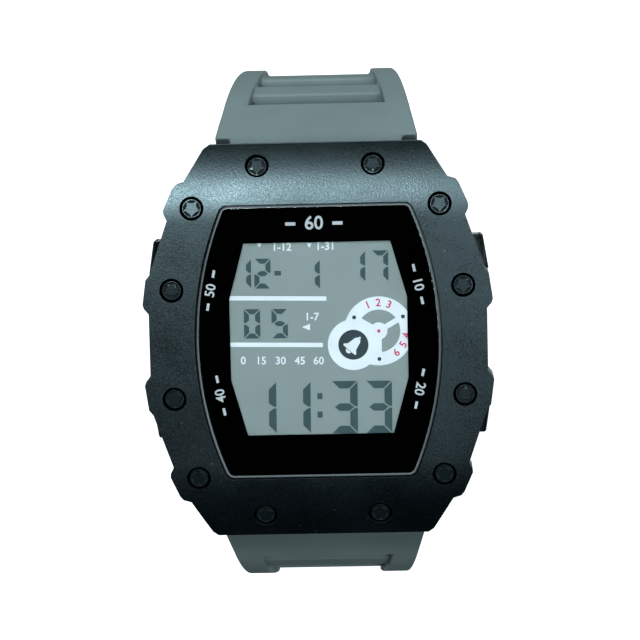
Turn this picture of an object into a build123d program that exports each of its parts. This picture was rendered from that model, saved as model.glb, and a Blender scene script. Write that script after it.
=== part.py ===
import os
from math import asin, cos, degrees, pi, radians, sin

from build123d import *

# Digital wristwatch: a barrel-shaped plastic case under a scalloped bezel with twelve star
# screws, four side pushers, a liquid crystal module on a coin cell, and a two-piece rubber
# strap with a ladder of vents, a pin buckle and two keepers. The strap is unfastened: the
# lower half lies under the watch and the upper half curls above it, both as moulded.
# +Z leaves the dial, +Y points to 12 o'clock and +X to 3 o'clock. The origin is the centre
# of the case back's outer face. Lengths are millimetres and angles are degrees.

# General fits
OVERRUN = 1.0
RUNNING_GAP = 0.05
SEAT_GAP = 0.1
SLIDE_GAP = 0.3

# Bezel
BEZEL_WIDTH = 44.7
BEZEL_LENGTH = 50.6
BEZEL_BASE_Z = 7.5
BEZEL_TOP_Z = 13.2
CROWN_RADIUS = 222.0
CROWN_LENGTH = 31.0
FLANK_RADIUS = 24.5
OPENING_WIDTH = 31.7
OPENING_LENGTH = 35.4
OPENING_END_WIDTH = 24.2
OPENING_CORNER = 1.2

# One quarter of the scalloped outline, as shares of the bezel's half width and half length
BEZEL_OUTLINE_SHARES = (
    (0.608, 1.0),
    (0.64, 0.98),
    (0.756, 0.814),
    (0.801, 0.802),
    (0.819, 0.783),
    (0.87, 0.68),
    (0.868, 0.66),
    (0.85, 0.628),
    (0.957, 0.356),
    (0.98, 0.332),
    (1.0, 0.206),
    (0.993, 0.186),
    (0.966, 0.158),
)

# Bezel screws: places from the centre line and the cross line, per row
END_SCREW_X = 7.4
END_SCREW_Y = 22.6
CORNER_SCREW_X = 15.8
CORNER_SCREW_Y = 17.4
SIDE_SCREW_X = 18.6
SIDE_SCREW_Y = 7.0
SCREW_RECESS_RADIUS = 1.55
SCREW_RECESS_DEPTH = 1.0
SCREW_HEAD_RADIUS = 1.18
SCREW_HEAD_HEIGHT = 0.75
SCREW_SHANK_RADIUS = 0.6
SCREW_REACH = 5.5
END_SCREW_REACH = 1.5
STAR_RIM = 0.1
STAR_WAIST = 0.68
STAR_DEPTH = 0.35
STAR_POINTS = 5

# Case body
BODY_WIDTH = 41.3
BODY_END_GAP = 0.3
BODY_TIP_WIDTH = 26.4
BODY_BOTTOM_Z = 0.2
BODY_EDGE = 0.8
DECK_WIDTH = 35.6
DECK_END_WIDTH = 27.4
DECK_MARGIN = 0.7
DECK_TOP_Z = 9.9
DECK_THICKNESS = 0.8
CAVITY_WIDTH = 30.0
CAVITY_END_GAP = 1.2
CAVITY_CORNER = 4.0
DECK_WINDOW_WIDTH = 25.4
DECK_WINDOW_GAP = 0.5
LUG_TANGENT = 56.0

# Case back
BACK_WIDTH = 34.4
BACK_END_RIM = 2.7
BACK_CORNER = 2.6
BACK_THICKNESS = 0.9
BACK_EDGE = 0.2
BACK_RING_RADIUS = 13.0
BACK_RING_WIDTH = 0.5
BACK_RING_DEPTH = 0.15
BACK_SCREW_X = 15.2
BACK_SCREW_INSET = 2.1
BACK_SCREW_HEAD_RADIUS = 1.1
BACK_SCREW_HEAD_HEIGHT = 0.5
BACK_SCREW_SHANK_RADIUS = 0.55
BACK_SCREW_REACH = 3.2
BACK_SLOT_WIDTH = 0.3
BACK_SLOT_DEPTH = 0.25
SEAL_WIDTH = 0.9
SEAL_DEPTH = 0.5
SEAL_MARGIN = 0.35

# Lens, its mask and its gasket
LENS_THICKNESS = 1.5
LENS_GAP = 0.12
LENS_EDGE = 0.3
MASK_THICKNESS = 0.1
GASKET_THICKNESS = 0.3
GASKET_WIDTH = 1.1
WINDOW_WIDTH = 22.8
WINDOW_END_WIDTH = 18.8
WINDOW_LENGTH = 24.8
WINDOW_SIDE_LENGTH = 10.4
WINDOW_SHIFT = 0.25

# Display stack
GLASS_WIDTH = 24.6
LOWER_GLASS_LENGTH = 22.8
CONTACT_LEDGE = 2.3
GLASS_THICKNESS = 0.55
POLARISER_THICKNESS = 0.2
OVERLAY_THICKNESS = 0.1
OVERLAY_TO_MASK = 0.2
PANEL_THICKNESS = 0.8
FILM_MARGIN = 0.3
LAMP_LENGTH = 2.4
LAMP_WIDTH = 1.0

# Movement module
FRAME_WIDTH = 26.8
FRAME_END_WALL = 1.3
FRAME_CORNER = 3.0
FRAME_FLOOR = 0.8
PCB_THICKNESS = 0.8
PCB_TOP_Z = 5.7
PCB_INSET = 0.2
ZEBRA_LENGTH = 21.0
ZEBRA_WIDTH = 1.4
CHIP_SIZE = 8.0
CHIP_HEIGHT = 0.7
CHIP_CORNER = 2.0
CRYSTAL_RADIUS = 1.0
CRYSTAL_LENGTH = 6.0
CRYSTAL_X = 6.5
CRYSTAL_Y = 12.6
CAPACITOR_LENGTH = 1.6
CAPACITOR_WIDTH = 0.9
CAPACITOR_HEIGHT = 0.8
CAPACITOR_PITCH = 2.6
CAPACITOR_COUNT = 3
MODULE_SCREW_X = 11.8
MODULE_SCREW_Y = 9.6
MODULE_SCREW_RADIUS = 0.45
MODULE_SCREW_HEAD_RADIUS = 0.85
MODULE_SCREW_HEAD_HEIGHT = 0.45
MODULE_SCREW_REACH = 1.6

# Battery, its carrier and its contacts
BATTERY_RADIUS = 10.0
BATTERY_THICKNESS = 2.5
BATTERY_CAN_SHARE = 0.28
BATTERY_CAP_INSET = 1.1
CONTACT_THICKNESS = 0.2
CLIP_WIDTH = 5.0
LEAF_WIDTH = 2.2
LEAF_LENGTH = 7.0
PIEZO_RADIUS = 8.5
PIEZO_THICKNESS = 0.25
PIEZO_DISC_SHARE = 0.72
PIEZO_Y = 5.0
PIEZO_SPRING_Y = 12.3
PIEZO_SPRING_RADIUS = 0.6
PIEZO_SPRING_WIRE = 0.2
PIEZO_SPRING_TURNS = 3

# Side pushers
PUSHER_Y = 10.6
PUSHER_Z = 4.5
PUSHER_LENGTH = 4.6
PUSHER_HEIGHT = 3.4
PUSHER_FACE_X = 21.7
PUSHER_LEAN = 9.0
PUSHER_INNER_X = 19.3
PUSHER_TRAVEL = 0.8
PUSHER_EDGE = 0.35
PUSHER_POCKET_GAP = 0.15
STEM_RADIUS = 0.8
STEM_END_X = 14.4
STEM_CLIP_X = 14.8
STEM_CLIP_THICKNESS = 0.25
STEM_CLIP_RADIUS = 1.4
STEM_CLIP_MOUTH = 0.7
STEM_GROOVE_RADIUS = 0.5
RING_X = 15.8
RING_WIDTH = 0.3
SPRING_SEAT_X = 16.6
SPRING_RADIUS = 1.15
SPRING_WIRE = 0.25
SPRING_TURNS = 3
SPRING_WELL_RADIUS = 1.5
SWITCH_LENGTH = 4.4
SWITCH_HEIGHT = 2.2
SWITCH_THICKNESS = 0.15

# Strap pins at the case
PIN_Y = 22.2
PIN_Z = 4.4
PIN_RADIUS = 0.9
PIN_TIP_RADIUS = 0.45
PIN_TIP_LENGTH = 1.1
KNUCKLE_RADIUS = 2.8
KNUCKLE_LENGTH = 22.4
KNUCKLE_SIDE_GAP = 0.15

# Strap band, measured along its middle line from the case pin
STRAP_ROOT_WIDTH = 26.4
STRAP_WIDTH = 20.0
TAPER_START = 3.0
TAPER_END = 20.0
STRAP_OUTER = 1.6
STRAP_INNER = 1.4
STRAP_ROOT_RISE = 0.6
STRAP_EDGE = 0.4
ROOT_ANGLE = 36.0
STRAIGHT_ANGLE = 0.01
SHOULDER_LENGTH = 7.8
SHOULDER_TURN = 10.0
SIDE_RADIUS = 16.0
SIDE_TURN = 50.0
VENT_START = 9.0
VENT_COUNT = 4
VENT_LENGTH = 2.5
VENT_PITCH = 5.0
VENT_RAIL = 3.1
VENT_CORNER = 0.4
BAR_DROP = 0.7

# Upper half: curl, straight end, and what it carries
CURL_RADIUS = 20.0
CURL_TURN = 64.0
STRAIGHT_END = 18.0
BUCKLE_KNUCKLE_RADIUS = 1.9
BUCKLE_PIN_RADIUS = 0.75
BUCKLE_PIN_TIP_RADIUS = 0.4
TONGUE_SLOT_WIDTH = 3.4
TONGUE_SLOT_REACH = 3.6

# Lower half: drop, base curve and flat tail
TAIL_DROP = 21.0
TAIL_CURVE_RADIUS = 22.0
TAIL_FLAT = 26.0
TAIL_TIP_RADIUS = 7.0
HOLE_RADIUS = 1.3
HOLE_PITCH = 6.0
HOLE_COUNT = 8
LAST_HOLE_FROM_TIP = 14.0

# Buckle and tongue, measured from the buckle's pin
BUCKLE_INNER_WIDTH = 20.6
BUCKLE_RAIL = 1.7
BUCKLE_REACH = 10.0
BUCKLE_BAR = 2.0
BUCKLE_THICKNESS = 2.0
BUCKLE_TIP_SHARE = 0.58
BUCKLE_EDGE = 0.35
BUCKLE_NOTCH_DEPTH = 0.5
TONGUE_WIDTH = 2.0
TONGUE_THICKNESS = 0.95
TONGUE_EYE_RADIUS = 1.5
TONGUE_OVERHANG = 0.4

# Keepers
KEEPER_WIDTH = 4.6
KEEPER_WALL = 1.2
KEEPER_ROOM = 3.3
KEEPER_EDGE = 0.4
FIXED_KEEPER_FROM_PIN = 5.6
LOOSE_KEEPER_FROM_PIN = 11.6
KEEPER_GAP = 0.15
KEEPER_PEG_RADIUS = 0.8
KEEPER_PEG_LENGTH = 1.4

# Sides and ends, as signs
SIDES = (-1, 1)
CORNERS = {
    "upper_left": (-1, 1),
    "upper_right": (1, 1),
    "lower_left": (-1, -1),
    "lower_right": (1, -1),
}

# Heights and lengths worked out from the stack
UPPER_GLASS_LENGTH = LOWER_GLASS_LENGTH + 2 * CONTACT_LEDGE
FRAME_LENGTH = UPPER_GLASS_LENGTH + 2 * FRAME_END_WALL
CAVITY_LENGTH = FRAME_LENGTH + 2 * CAVITY_END_GAP
DECK_WINDOW_LENGTH = UPPER_GLASS_LENGTH + 2 * DECK_WINDOW_GAP
BACK_LENGTH = CAVITY_LENGTH + 2 * BACK_END_RIM
BACK_SCREW_Y = BACK_LENGTH / 2 - BACK_SCREW_INSET
BODY_LENGTH = BEZEL_LENGTH - 2 * BODY_END_GAP
DECK_LENGTH = OPENING_LENGTH + 2 * DECK_MARGIN
CAVITY_TOP_Z = DECK_TOP_Z - DECK_THICKNESS
MASK_BOTTOM_Z = DECK_TOP_Z + GASKET_THICKNESS
LENS_BOTTOM_Z = MASK_BOTTOM_Z + MASK_THICKNESS
OVERLAY_BOTTOM_Z = MASK_BOTTOM_Z - OVERLAY_TO_MASK - OVERLAY_THICKNESS
FRONT_FILM_BOTTOM_Z = OVERLAY_BOTTOM_Z - POLARISER_THICKNESS
UPPER_GLASS_BOTTOM_Z = FRONT_FILM_BOTTOM_Z - GLASS_THICKNESS
LOWER_GLASS_BOTTOM_Z = UPPER_GLASS_BOTTOM_Z - GLASS_THICKNESS
REAR_FILM_BOTTOM_Z = LOWER_GLASS_BOTTOM_Z - POLARISER_THICKNESS
PANEL_BOTTOM_Z = REAR_FILM_BOTTOM_Z - PANEL_THICKNESS
FRAME_TOP_Z = CAVITY_TOP_Z - RUNNING_GAP
PCB_BOTTOM_Z = PCB_TOP_Z - PCB_THICKNESS
PCB_WIDTH = FRAME_WIDTH - 2 * PCB_INSET
PCB_LENGTH = FRAME_LENGTH - 2 * PCB_INSET
ZEBRA_Y = (UPPER_GLASS_LENGTH - ZEBRA_WIDTH) / 2 - SEAT_GAP
BATTERY_TOP_Z = PCB_BOTTOM_Z - CONTACT_THICKNESS
BATTERY_BOTTOM_Z = BATTERY_TOP_Z - BATTERY_THICKNESS
KNUCKLE_ROOM = KNUCKLE_RADIUS + SLIDE_GAP
LUG_INNER_X = KNUCKLE_LENGTH / 2 + KNUCKLE_SIDE_GAP
SCREW_PLACES = {
    (END_SCREW_X, END_SCREW_Y): END_SCREW_REACH,
    (CORNER_SCREW_X, CORNER_SCREW_Y): SCREW_REACH,
    (SIDE_SCREW_X, SIDE_SCREW_Y): SCREW_REACH,
}

# Routes of the strap's middle line, as stretches of a length and the angle that each turns
SIDE_LENGTH = SIDE_RADIUS * radians(SIDE_TURN)
CURL_LENGTH = CURL_RADIUS * radians(CURL_TURN)
TAIL_TURN = degrees(pi) - ROOT_ANGLE - SHOULDER_TURN - SIDE_TURN
TAIL_CURVE_LENGTH = TAIL_CURVE_RADIUS * radians(TAIL_TURN)
CASE_STRETCHES = [(SHOULDER_LENGTH, SHOULDER_TURN), (SIDE_LENGTH, SIDE_TURN)]
UPPER_ROUTE = CASE_STRETCHES + [(CURL_LENGTH, CURL_TURN), (STRAIGHT_END, 0)]
LOWER_ROUTE = CASE_STRETCHES + [
    (TAIL_DROP, 0),
    (TAIL_CURVE_LENGTH, TAIL_TURN),
    (TAIL_FLAT, 0),
]

os.makedirs("parts", exist_ok=True)


def arc_angle(offset, radius):
    """Angle that an arc has turned at an offset from its crown."""
    return degrees(asin(offset / radius))


CROWN_SLOPE = arc_angle(CROWN_LENGTH / 2, CROWN_RADIUS)
END_SLOPE = degrees(
    asin(sin(radians(CROWN_SLOPE)) + (BEZEL_LENGTH - CROWN_LENGTH) / 2 / FLANK_RADIUS)
)


def bezel_surface(y):
    """Height and outward slope of the bezel's top at a distance y from its middle."""
    reach = abs(y)
    if reach <= CROWN_LENGTH / 2:
        slope = arc_angle(reach, CROWN_RADIUS)
        return BEZEL_TOP_Z - CROWN_RADIUS * (1 - cos(radians(slope))), slope
    slope = degrees(asin(sin(radians(CROWN_SLOPE)) + (reach - CROWN_LENGTH / 2) / FLANK_RADIUS))
    shoulder = BEZEL_TOP_Z - CROWN_RADIUS * (1 - cos(radians(CROWN_SLOPE)))
    return shoulder - FLANK_RADIUS * (cos(radians(CROWN_SLOPE)) - cos(radians(slope))), slope


def screw_plane(x, y):
    """Plane that lies on the bezel's top at a screw, with its Z along the screw."""
    height, slope = bezel_surface(y)
    lean = slope if y > 0 else -slope
    normal = (0, sin(radians(lean)), cos(radians(lean)))
    return Plane(origin=(x, y, height), x_dir=(1, 0, 0), z_dir=normal)


def four_places(x, y):
    """The four places that mirror one place over both centre lines."""
    return [(side * x, end * y) for side in SIDES for end in SIDES]


def barrel(width, length, end_width):
    """Barrel outline: straight ends joined by bowed sides."""
    x, y = end_width / 2, length / 2
    with BuildSketch() as outline:
        with BuildLine():
            ThreePointArc((x, -y), (width / 2, 0), (x, y))
            Line((x, y), (-x, y))
            ThreePointArc((-x, y), (-width / 2, 0), (-x, -y))
            Line((-x, -y), (x, -y))
        make_face()
    return outline.sketch


def bezel_outline():
    """Scalloped outline of the bezel, the same in all four quarters."""
    quarter = [
        (across * BEZEL_WIDTH / 2, along * BEZEL_LENGTH / 2)
        for across, along in BEZEL_OUTLINE_SHARES
    ]
    right = quarter + [(x, -y) for x, y in reversed(quarter)]
    left = [(-x, y) for x, y in reversed(right)]
    with BuildSketch() as outline:
        with BuildLine():
            Polyline(*right, *left, close=True)
        make_face()
    return outline.sketch


def star(radius, waist, points, end):
    """Star with hollow sides that points to the cross line from an end of the bezel."""

    def corner(step):
        reach = radius if step % 2 == 0 else waist
        turn = pi * step / points
        return (reach * sin(turn), -end * reach * cos(turn))

    with BuildSketch() as outline:
        with BuildLine():
            for step in range(0, 2 * points, 2):
                ThreePointArc(corner(step), corner(step + 1), corner(step + 2))
        make_face()
    return outline.sketch


def across_plane(x, y, z, side):
    """Plane square to the X axis at a place, with its Z pointing out on that side."""
    return Plane(origin=(x, y, z), x_dir=(0, side, 0), z_dir=(side, 0, 0))


def rod(places, plane_side=1):
    """Stepped round rod along X: each place is a start, a length and a radius."""
    with BuildPart() as turned:
        for y, z, start, length, radius in places:
            with BuildSketch(across_plane(start, y, z, plane_side)):
                Circle(radius)
            extrude(amount=length)
    return turned.part


def coil(plane, length, radius, wire, turns):
    """Open coil spring along a plane's Z."""
    with BuildPart() as wound:
        with BuildLine():
            turn_line = Helix(pitch=(length - wire) / turns, height=length - wire, radius=radius)
        with BuildSketch(Plane(origin=turn_line @ 0, z_dir=turn_line % 0)):
            Rectangle(wire, wire)
        sweep(path=turn_line, is_frenet=True)
    return wound.part.moved(plane.location)


def route_point(route, distance):
    """Place and slope of the strap's middle line at a distance from its case pin."""
    y, z, slope = PIN_Y, PIN_Z, ROOT_ANGLE
    for length, turn in route:
        step = min(length, distance)
        if turn:
            radius = length / radians(turn)
            end_slope = slope + degrees(step / radius)
            y += radius * (sin(radians(end_slope)) - sin(radians(slope)))
            z += radius * (cos(radians(end_slope)) - cos(radians(slope)))
            slope = end_slope
        else:
            y += step * cos(radians(slope))
            z -= step * sin(radians(slope))
        distance -= step
    return y, z, slope


def route_length(route):
    """Whole length of a strap half's middle line."""
    return sum(length for length, _ in route)


def section_plane(route, end, distance):
    """Plane square to the strap at a distance, with its Y towards the outer face."""
    y, z, slope = route_point(route, distance)
    along = (0, end * cos(radians(slope)), -sin(radians(slope)))
    return Plane(origin=(0, end * y, z), x_dir=(-end, 0, 0), z_dir=along)


def face_plane(route, end, distance):
    """Plane along the strap at a distance, with its Z towards the outer face."""
    y, z, slope = route_point(route, distance)
    outward = (0, end * sin(radians(slope)), cos(radians(slope)))
    return Plane(origin=(0, end * y, z), x_dir=(end, 0, 0), z_dir=outward)


def stretches(route, start, finish):
    """Spans between two distances, split where the route changes its curve."""
    marks = [start]
    reached = 0
    for length, _ in route:
        reached += length
        if start < reached < finish:
            marks.append(reached)
    marks.append(finish)
    return list(zip(marks[:-1], marks[1:]))


def band_width(distance):
    """Width of the strap at a distance from its case pin."""
    share = (distance - TAPER_START) / (TAPER_END - TAPER_START)
    return STRAP_ROOT_WIDTH + (STRAP_WIDTH - STRAP_ROOT_WIDTH) * min(max(share, 0), 1)


def band_outer(distance):
    """Height of the strap's outer face over its middle line."""
    return STRAP_OUTER + STRAP_ROOT_RISE * max(1 - distance / SHOULDER_LENGTH, 0)


def swept_band(route, end, start, finish, section):
    """Band along the route, whose section is a function of the distance."""
    with BuildPart() as band:
        for near, far in stretches(route, start, finish):
            ends = [section_plane(route, end, place).origin for place in (near, (near + far) / 2, far)]
            with BuildLine() as run:
                if (ends[1] - ends[0]).get_angle(ends[2] - ends[0]) > STRAIGHT_ANGLE:
                    ThreePointArc(*ends)
                else:
                    Line(ends[0], ends[2])
            for place in (near, far):
                width, low, high, corner = section(place)
                with BuildSketch(section_plane(route, end, place)) as cut:
                    with Locations((0, (low + high) / 2)):
                        Rectangle(width, high - low)
                    chamfer(cut.vertices(), length=corner)
            sweep(path=run.wires()[0], multisection=True)
    return band.part


def band_section(distance):
    """Section of the strap band."""
    return band_width(distance), -STRAP_INNER, band_outer(distance), STRAP_EDGE


def trough_section(distance):
    """Section of the trough between the rails, above the dropped bars."""
    width = band_width(distance) - 2 * VENT_RAIL
    return width, STRAP_OUTER - BAR_DROP, STRAP_OUTER + OVERRUN, STRAP_EDGE


def strap_band(route, end):
    """One strap half up to its free end, with its case knuckle, shoulders and vents."""
    finish = route_length(route)
    vent_end = VENT_START + VENT_COUNT * VENT_PITCH
    root = face_plane(route, end, 0)
    with BuildPart() as band:
        add(swept_band(route, end, 0, TAPER_START, band_section))
        add(swept_band(route, end, TAPER_START, TAPER_END, band_section))
        add(swept_band(route, end, TAPER_END, finish, band_section))
        for side in SIDES:
            with BuildSketch(across_plane(side * (KNUCKLE_LENGTH / 2), end * PIN_Y, PIN_Z, side)):
                Circle(KNUCKLE_ROOM)
            extrude(amount=STRAP_ROOT_WIDTH, mode=Mode.SUBTRACT)
            with BuildSketch(root):
                with Locations((side * (KNUCKLE_LENGTH + STRAP_ROOT_WIDTH) / 2, 0)):
                    Rectangle(STRAP_ROOT_WIDTH, 2 * KNUCKLE_ROOM)
            extrude(amount=KNUCKLE_ROOM, mode=Mode.SUBTRACT)
        add(rod([(end * PIN_Y, PIN_Z, -KNUCKLE_LENGTH / 2, KNUCKLE_LENGTH, KNUCKLE_RADIUS)]))
        bore = PIN_RADIUS + RUNNING_GAP
        add(
            rod([(end * PIN_Y, PIN_Z, -KNUCKLE_LENGTH, 2 * KNUCKLE_LENGTH, bore)]),
            mode=Mode.SUBTRACT,
        )
        for start, stop in ((VENT_START, TAPER_END), (TAPER_END, vent_end)):
            add(swept_band(route, end, start, stop, trough_section), mode=Mode.SUBTRACT)
        for vent in range(VENT_COUNT):
            place = VENT_START + VENT_LENGTH / 2 + vent * VENT_PITCH
            with BuildSketch(face_plane(route, end, place).offset(-STRAP_INNER - OVERRUN)):
                RectangleRounded(band_width(place) - 2 * VENT_RAIL, VENT_LENGTH, VENT_CORNER)
            extrude(amount=STRAP_INNER + STRAP_OUTER + 2 * OVERRUN, mode=Mode.SUBTRACT)
    return band.part


# Bezel
with BuildPart() as bezel:
    with BuildSketch(Plane.XY.offset(BEZEL_BASE_Z)):
        add(bezel_outline())
    extrude(amount=BEZEL_TOP_Z - BEZEL_BASE_Z)
    with BuildSketch(Plane.YZ):
        with BuildLine():
            for side in SIDES:
                crown = JernArc((0, BEZEL_TOP_Z), (side, 0), CROWN_RADIUS, -side * CROWN_SLOPE)
                flank = JernArc(crown @ 1, crown % 1, FLANK_RADIUS, -side * (END_SLOPE - CROWN_SLOPE))
                Line(flank @ 1, (side * BEZEL_LENGTH / 2, BEZEL_BASE_Z))
            Line((-BEZEL_LENGTH / 2, BEZEL_BASE_Z), (BEZEL_LENGTH / 2, BEZEL_BASE_Z))
        make_face()
    extrude(amount=BEZEL_WIDTH, both=True, mode=Mode.INTERSECT)
    with BuildSketch(Plane.XY.offset(BEZEL_BASE_Z)) as opening:
        add(barrel(OPENING_WIDTH, OPENING_LENGTH, OPENING_END_WIDTH))
        fillet(opening.vertices(), radius=OPENING_CORNER)
    extrude(amount=BEZEL_TOP_Z, mode=Mode.SUBTRACT)
    with BuildSketch(Plane.XY.offset(BEZEL_BASE_Z)):
        add(
            barrel(
                DECK_WIDTH + 2 * SEAT_GAP, DECK_LENGTH + 2 * SEAT_GAP, DECK_END_WIDTH + 2 * SEAT_GAP
            )
        )
    extrude(amount=DECK_TOP_Z - BEZEL_BASE_Z, mode=Mode.SUBTRACT)
    for row, reach in SCREW_PLACES.items():
        for place in four_places(*row):
            with Locations(screw_plane(*place)):
                CounterBoreHole(
                    radius=SCREW_SHANK_RADIUS,
                    counter_bore_radius=SCREW_RECESS_RADIUS,
                    counter_bore_depth=SCREW_RECESS_DEPTH,
                    depth=SCREW_RECESS_DEPTH + reach,
                )
bezel.part.label = "bezel"
export_step(bezel.part, "parts/bezel.step")

# Bezel screws, with five pockets in each head that leave a star standing
with BuildPart() as bezel_screws:
    for row, reach in SCREW_PLACES.items():
        for place in four_places(*row):
            seat = screw_plane(*place).offset(-SCREW_RECESS_DEPTH)
            with BuildSketch(seat):
                Circle(SCREW_SHANK_RADIUS)
            extrude(amount=-reach)
            with BuildSketch(seat):
                Circle(SCREW_HEAD_RADIUS)
            extrude(amount=SCREW_HEAD_HEIGHT)
            with BuildSketch(seat.offset(SCREW_HEAD_HEIGHT)):
                Circle(SCREW_HEAD_RADIUS - STAR_RIM)
                add(star(SCREW_HEAD_RADIUS, STAR_WAIST, STAR_POINTS, place[1] / row[1]), mode=Mode.SUBTRACT)
            extrude(amount=-STAR_DEPTH, mode=Mode.SUBTRACT)
bezel_screws.part.label = "bezel_screws"
export_step(bezel_screws.part, "parts/bezel_screws.step")

# Case body, with lugs for the strap pins, pockets for the pushers and a deck for the lens
with BuildPart() as case_body:
    with BuildSketch(Plane.XY.offset(BODY_BOTTOM_Z)):
        add(barrel(BODY_WIDTH, BODY_LENGTH, BODY_TIP_WIDTH))
    extrude(amount=BEZEL_BASE_Z - BODY_BOTTOM_Z)
    chamfer(case_body.faces().sort_by(Axis.Z)[0].edges(), length=BODY_EDGE)
    with BuildSketch(Plane.XY.offset(BEZEL_BASE_Z)):
        add(barrel(DECK_WIDTH, DECK_LENGTH, DECK_END_WIDTH))
    extrude(amount=DECK_TOP_Z - BEZEL_BASE_Z)
    with BuildSketch(Plane.XY.offset(BODY_BOTTOM_Z)):
        RectangleRounded(BACK_WIDTH + 2 * SEAT_GAP, BACK_LENGTH + 2 * SEAT_GAP, BACK_CORNER)
    extrude(amount=BACK_THICKNESS - BODY_BOTTOM_Z, mode=Mode.SUBTRACT)
    with BuildSketch(Plane.XY.offset(BACK_THICKNESS)):
        RectangleRounded(CAVITY_WIDTH, CAVITY_LENGTH, CAVITY_CORNER)
    extrude(amount=CAVITY_TOP_Z - BACK_THICKNESS, mode=Mode.SUBTRACT)
    with BuildSketch(Plane.XY.offset(CAVITY_TOP_Z)):
        Rectangle(DECK_WINDOW_WIDTH, DECK_WINDOW_LENGTH)
    extrude(amount=DECK_THICKNESS, mode=Mode.SUBTRACT)
    with BuildSketch(Plane.XY.offset(BACK_THICKNESS)):
        for grow, mode in ((SEAL_MARGIN + SEAL_WIDTH, Mode.ADD), (SEAL_MARGIN, Mode.SUBTRACT)):
            RectangleRounded(
                CAVITY_WIDTH + 2 * grow, CAVITY_LENGTH + 2 * grow, CAVITY_CORNER + grow, mode=mode
            )
    extrude(amount=SEAL_DEPTH, mode=Mode.SUBTRACT)
    for end in SIDES:
        with BuildSketch(Plane.YZ):
            with Locations((end * PIN_Y, PIN_Z)):
                Circle(KNUCKLE_ROOM)
            low_y = PIN_Y - STRAP_INNER - SLIDE_GAP
            with Locations((end * (low_y + BODY_LENGTH) / 2, BEZEL_BASE_Z / 2)):
                Rectangle(BODY_LENGTH - low_y, BEZEL_BASE_Z)
        extrude(amount=LUG_INNER_X, both=True, mode=Mode.SUBTRACT)
        lean = radians(LUG_TANGENT)
        corner = (PIN_Y + KNUCKLE_RADIUS * cos(lean), PIN_Z - KNUCKLE_RADIUS * sin(lean))
        middle = (PIN_Y + KNUCKLE_RADIUS * cos(lean / 2), PIN_Z - KNUCKLE_RADIUS * sin(lean / 2))
        fall = (corner[1] + OVERRUN) / cos(lean)
        foot = (corner[0] - fall * sin(lean), -OVERRUN)
        with BuildSketch(Plane.YZ):
            with BuildLine():
                tip = (end * (PIN_Y + KNUCKLE_RADIUS), PIN_Z)
                arc_end = (end * corner[0], corner[1])
                ThreePointArc(tip, (end * middle[0], middle[1]), arc_end)
                Line(arc_end, (end * foot[0], foot[1]))
                Line((end * foot[0], foot[1]), (end * BODY_LENGTH, foot[1]))
                Line((end * BODY_LENGTH, foot[1]), (end * BODY_LENGTH, PIN_Z))
                Line((end * BODY_LENGTH, PIN_Z), tip)
            make_face()
        extrude(amount=BODY_WIDTH, both=True, mode=Mode.SUBTRACT)
        reach = LUG_INNER_X + PIN_TIP_LENGTH + SEAT_GAP
        add(
            rod([(end * PIN_Y, PIN_Z, -reach, 2 * reach, PIN_TIP_RADIUS + RUNNING_GAP)]),
            mode=Mode.SUBTRACT,
        )
    for side, end in CORNERS.values():
        pocket_x = PUSHER_INNER_X - PUSHER_TRAVEL - SLIDE_GAP
        pocket_size = (PUSHER_LENGTH + 2 * PUSHER_POCKET_GAP, PUSHER_HEIGHT + 2 * PUSHER_POCKET_GAP)
        with BuildSketch(across_plane(side * pocket_x, end * PUSHER_Y, PUSHER_Z, side)):
            RectangleRounded(*pocket_size, PUSHER_EDGE)
        extrude(amount=BODY_WIDTH, mode=Mode.SUBTRACT)
        with BuildSketch(across_plane(side * SPRING_SEAT_X, end * PUSHER_Y, PUSHER_Z, side)):
            Circle(SPRING_WELL_RADIUS)
        extrude(amount=BODY_WIDTH, mode=Mode.SUBTRACT)
        with BuildSketch(across_plane(side * STEM_END_X, end * PUSHER_Y, PUSHER_Z, side)):
            Circle(STEM_RADIUS + RUNNING_GAP)
        extrude(amount=BODY_WIDTH, mode=Mode.SUBTRACT)
    for row, reach in SCREW_PLACES.items():
        if reach == SCREW_REACH:
            for place in four_places(*row):
                seat = screw_plane(*place).offset(-SCREW_RECESS_DEPTH)
                with BuildSketch(seat):
                    Circle(SCREW_SHANK_RADIUS)
                extrude(amount=-reach - SEAT_GAP, mode=Mode.SUBTRACT)
    with BuildSketch(Plane.XY.offset(BACK_THICKNESS)):
        with Locations(four_places(BACK_SCREW_X, BACK_SCREW_Y)):
            Circle(BACK_SCREW_SHANK_RADIUS)
    extrude(amount=BACK_SCREW_REACH, mode=Mode.SUBTRACT)
case_body.part.label = "case_body"
export_step(case_body.part, "parts/case_body.step")

# Case back, with a turned ring on its outer face
with BuildPart() as case_back:
    with BuildSketch():
        RectangleRounded(BACK_WIDTH, BACK_LENGTH, BACK_CORNER)
    extrude(amount=BACK_THICKNESS)
    chamfer(case_back.faces().sort_by(Axis.Z)[0].edges(), length=BACK_EDGE)
    with BuildSketch():
        Circle(BACK_RING_RADIUS)
        Circle(BACK_RING_RADIUS - BACK_RING_WIDTH, mode=Mode.SUBTRACT)
    extrude(amount=BACK_RING_DEPTH, mode=Mode.SUBTRACT)
    with BuildSketch():
        with Locations(four_places(BACK_SCREW_X, BACK_SCREW_Y)):
            Circle(BACK_SCREW_HEAD_RADIUS + SEAT_GAP)
    extrude(amount=BACK_SCREW_HEAD_HEIGHT, mode=Mode.SUBTRACT)
    with BuildSketch():
        with Locations(four_places(BACK_SCREW_X, BACK_SCREW_Y)):
            Circle(BACK_SCREW_SHANK_RADIUS)
    extrude(amount=BACK_THICKNESS, mode=Mode.SUBTRACT)
case_back.part.label = "case_back"
export_step(case_back.part, "parts/case_back.step")

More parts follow.
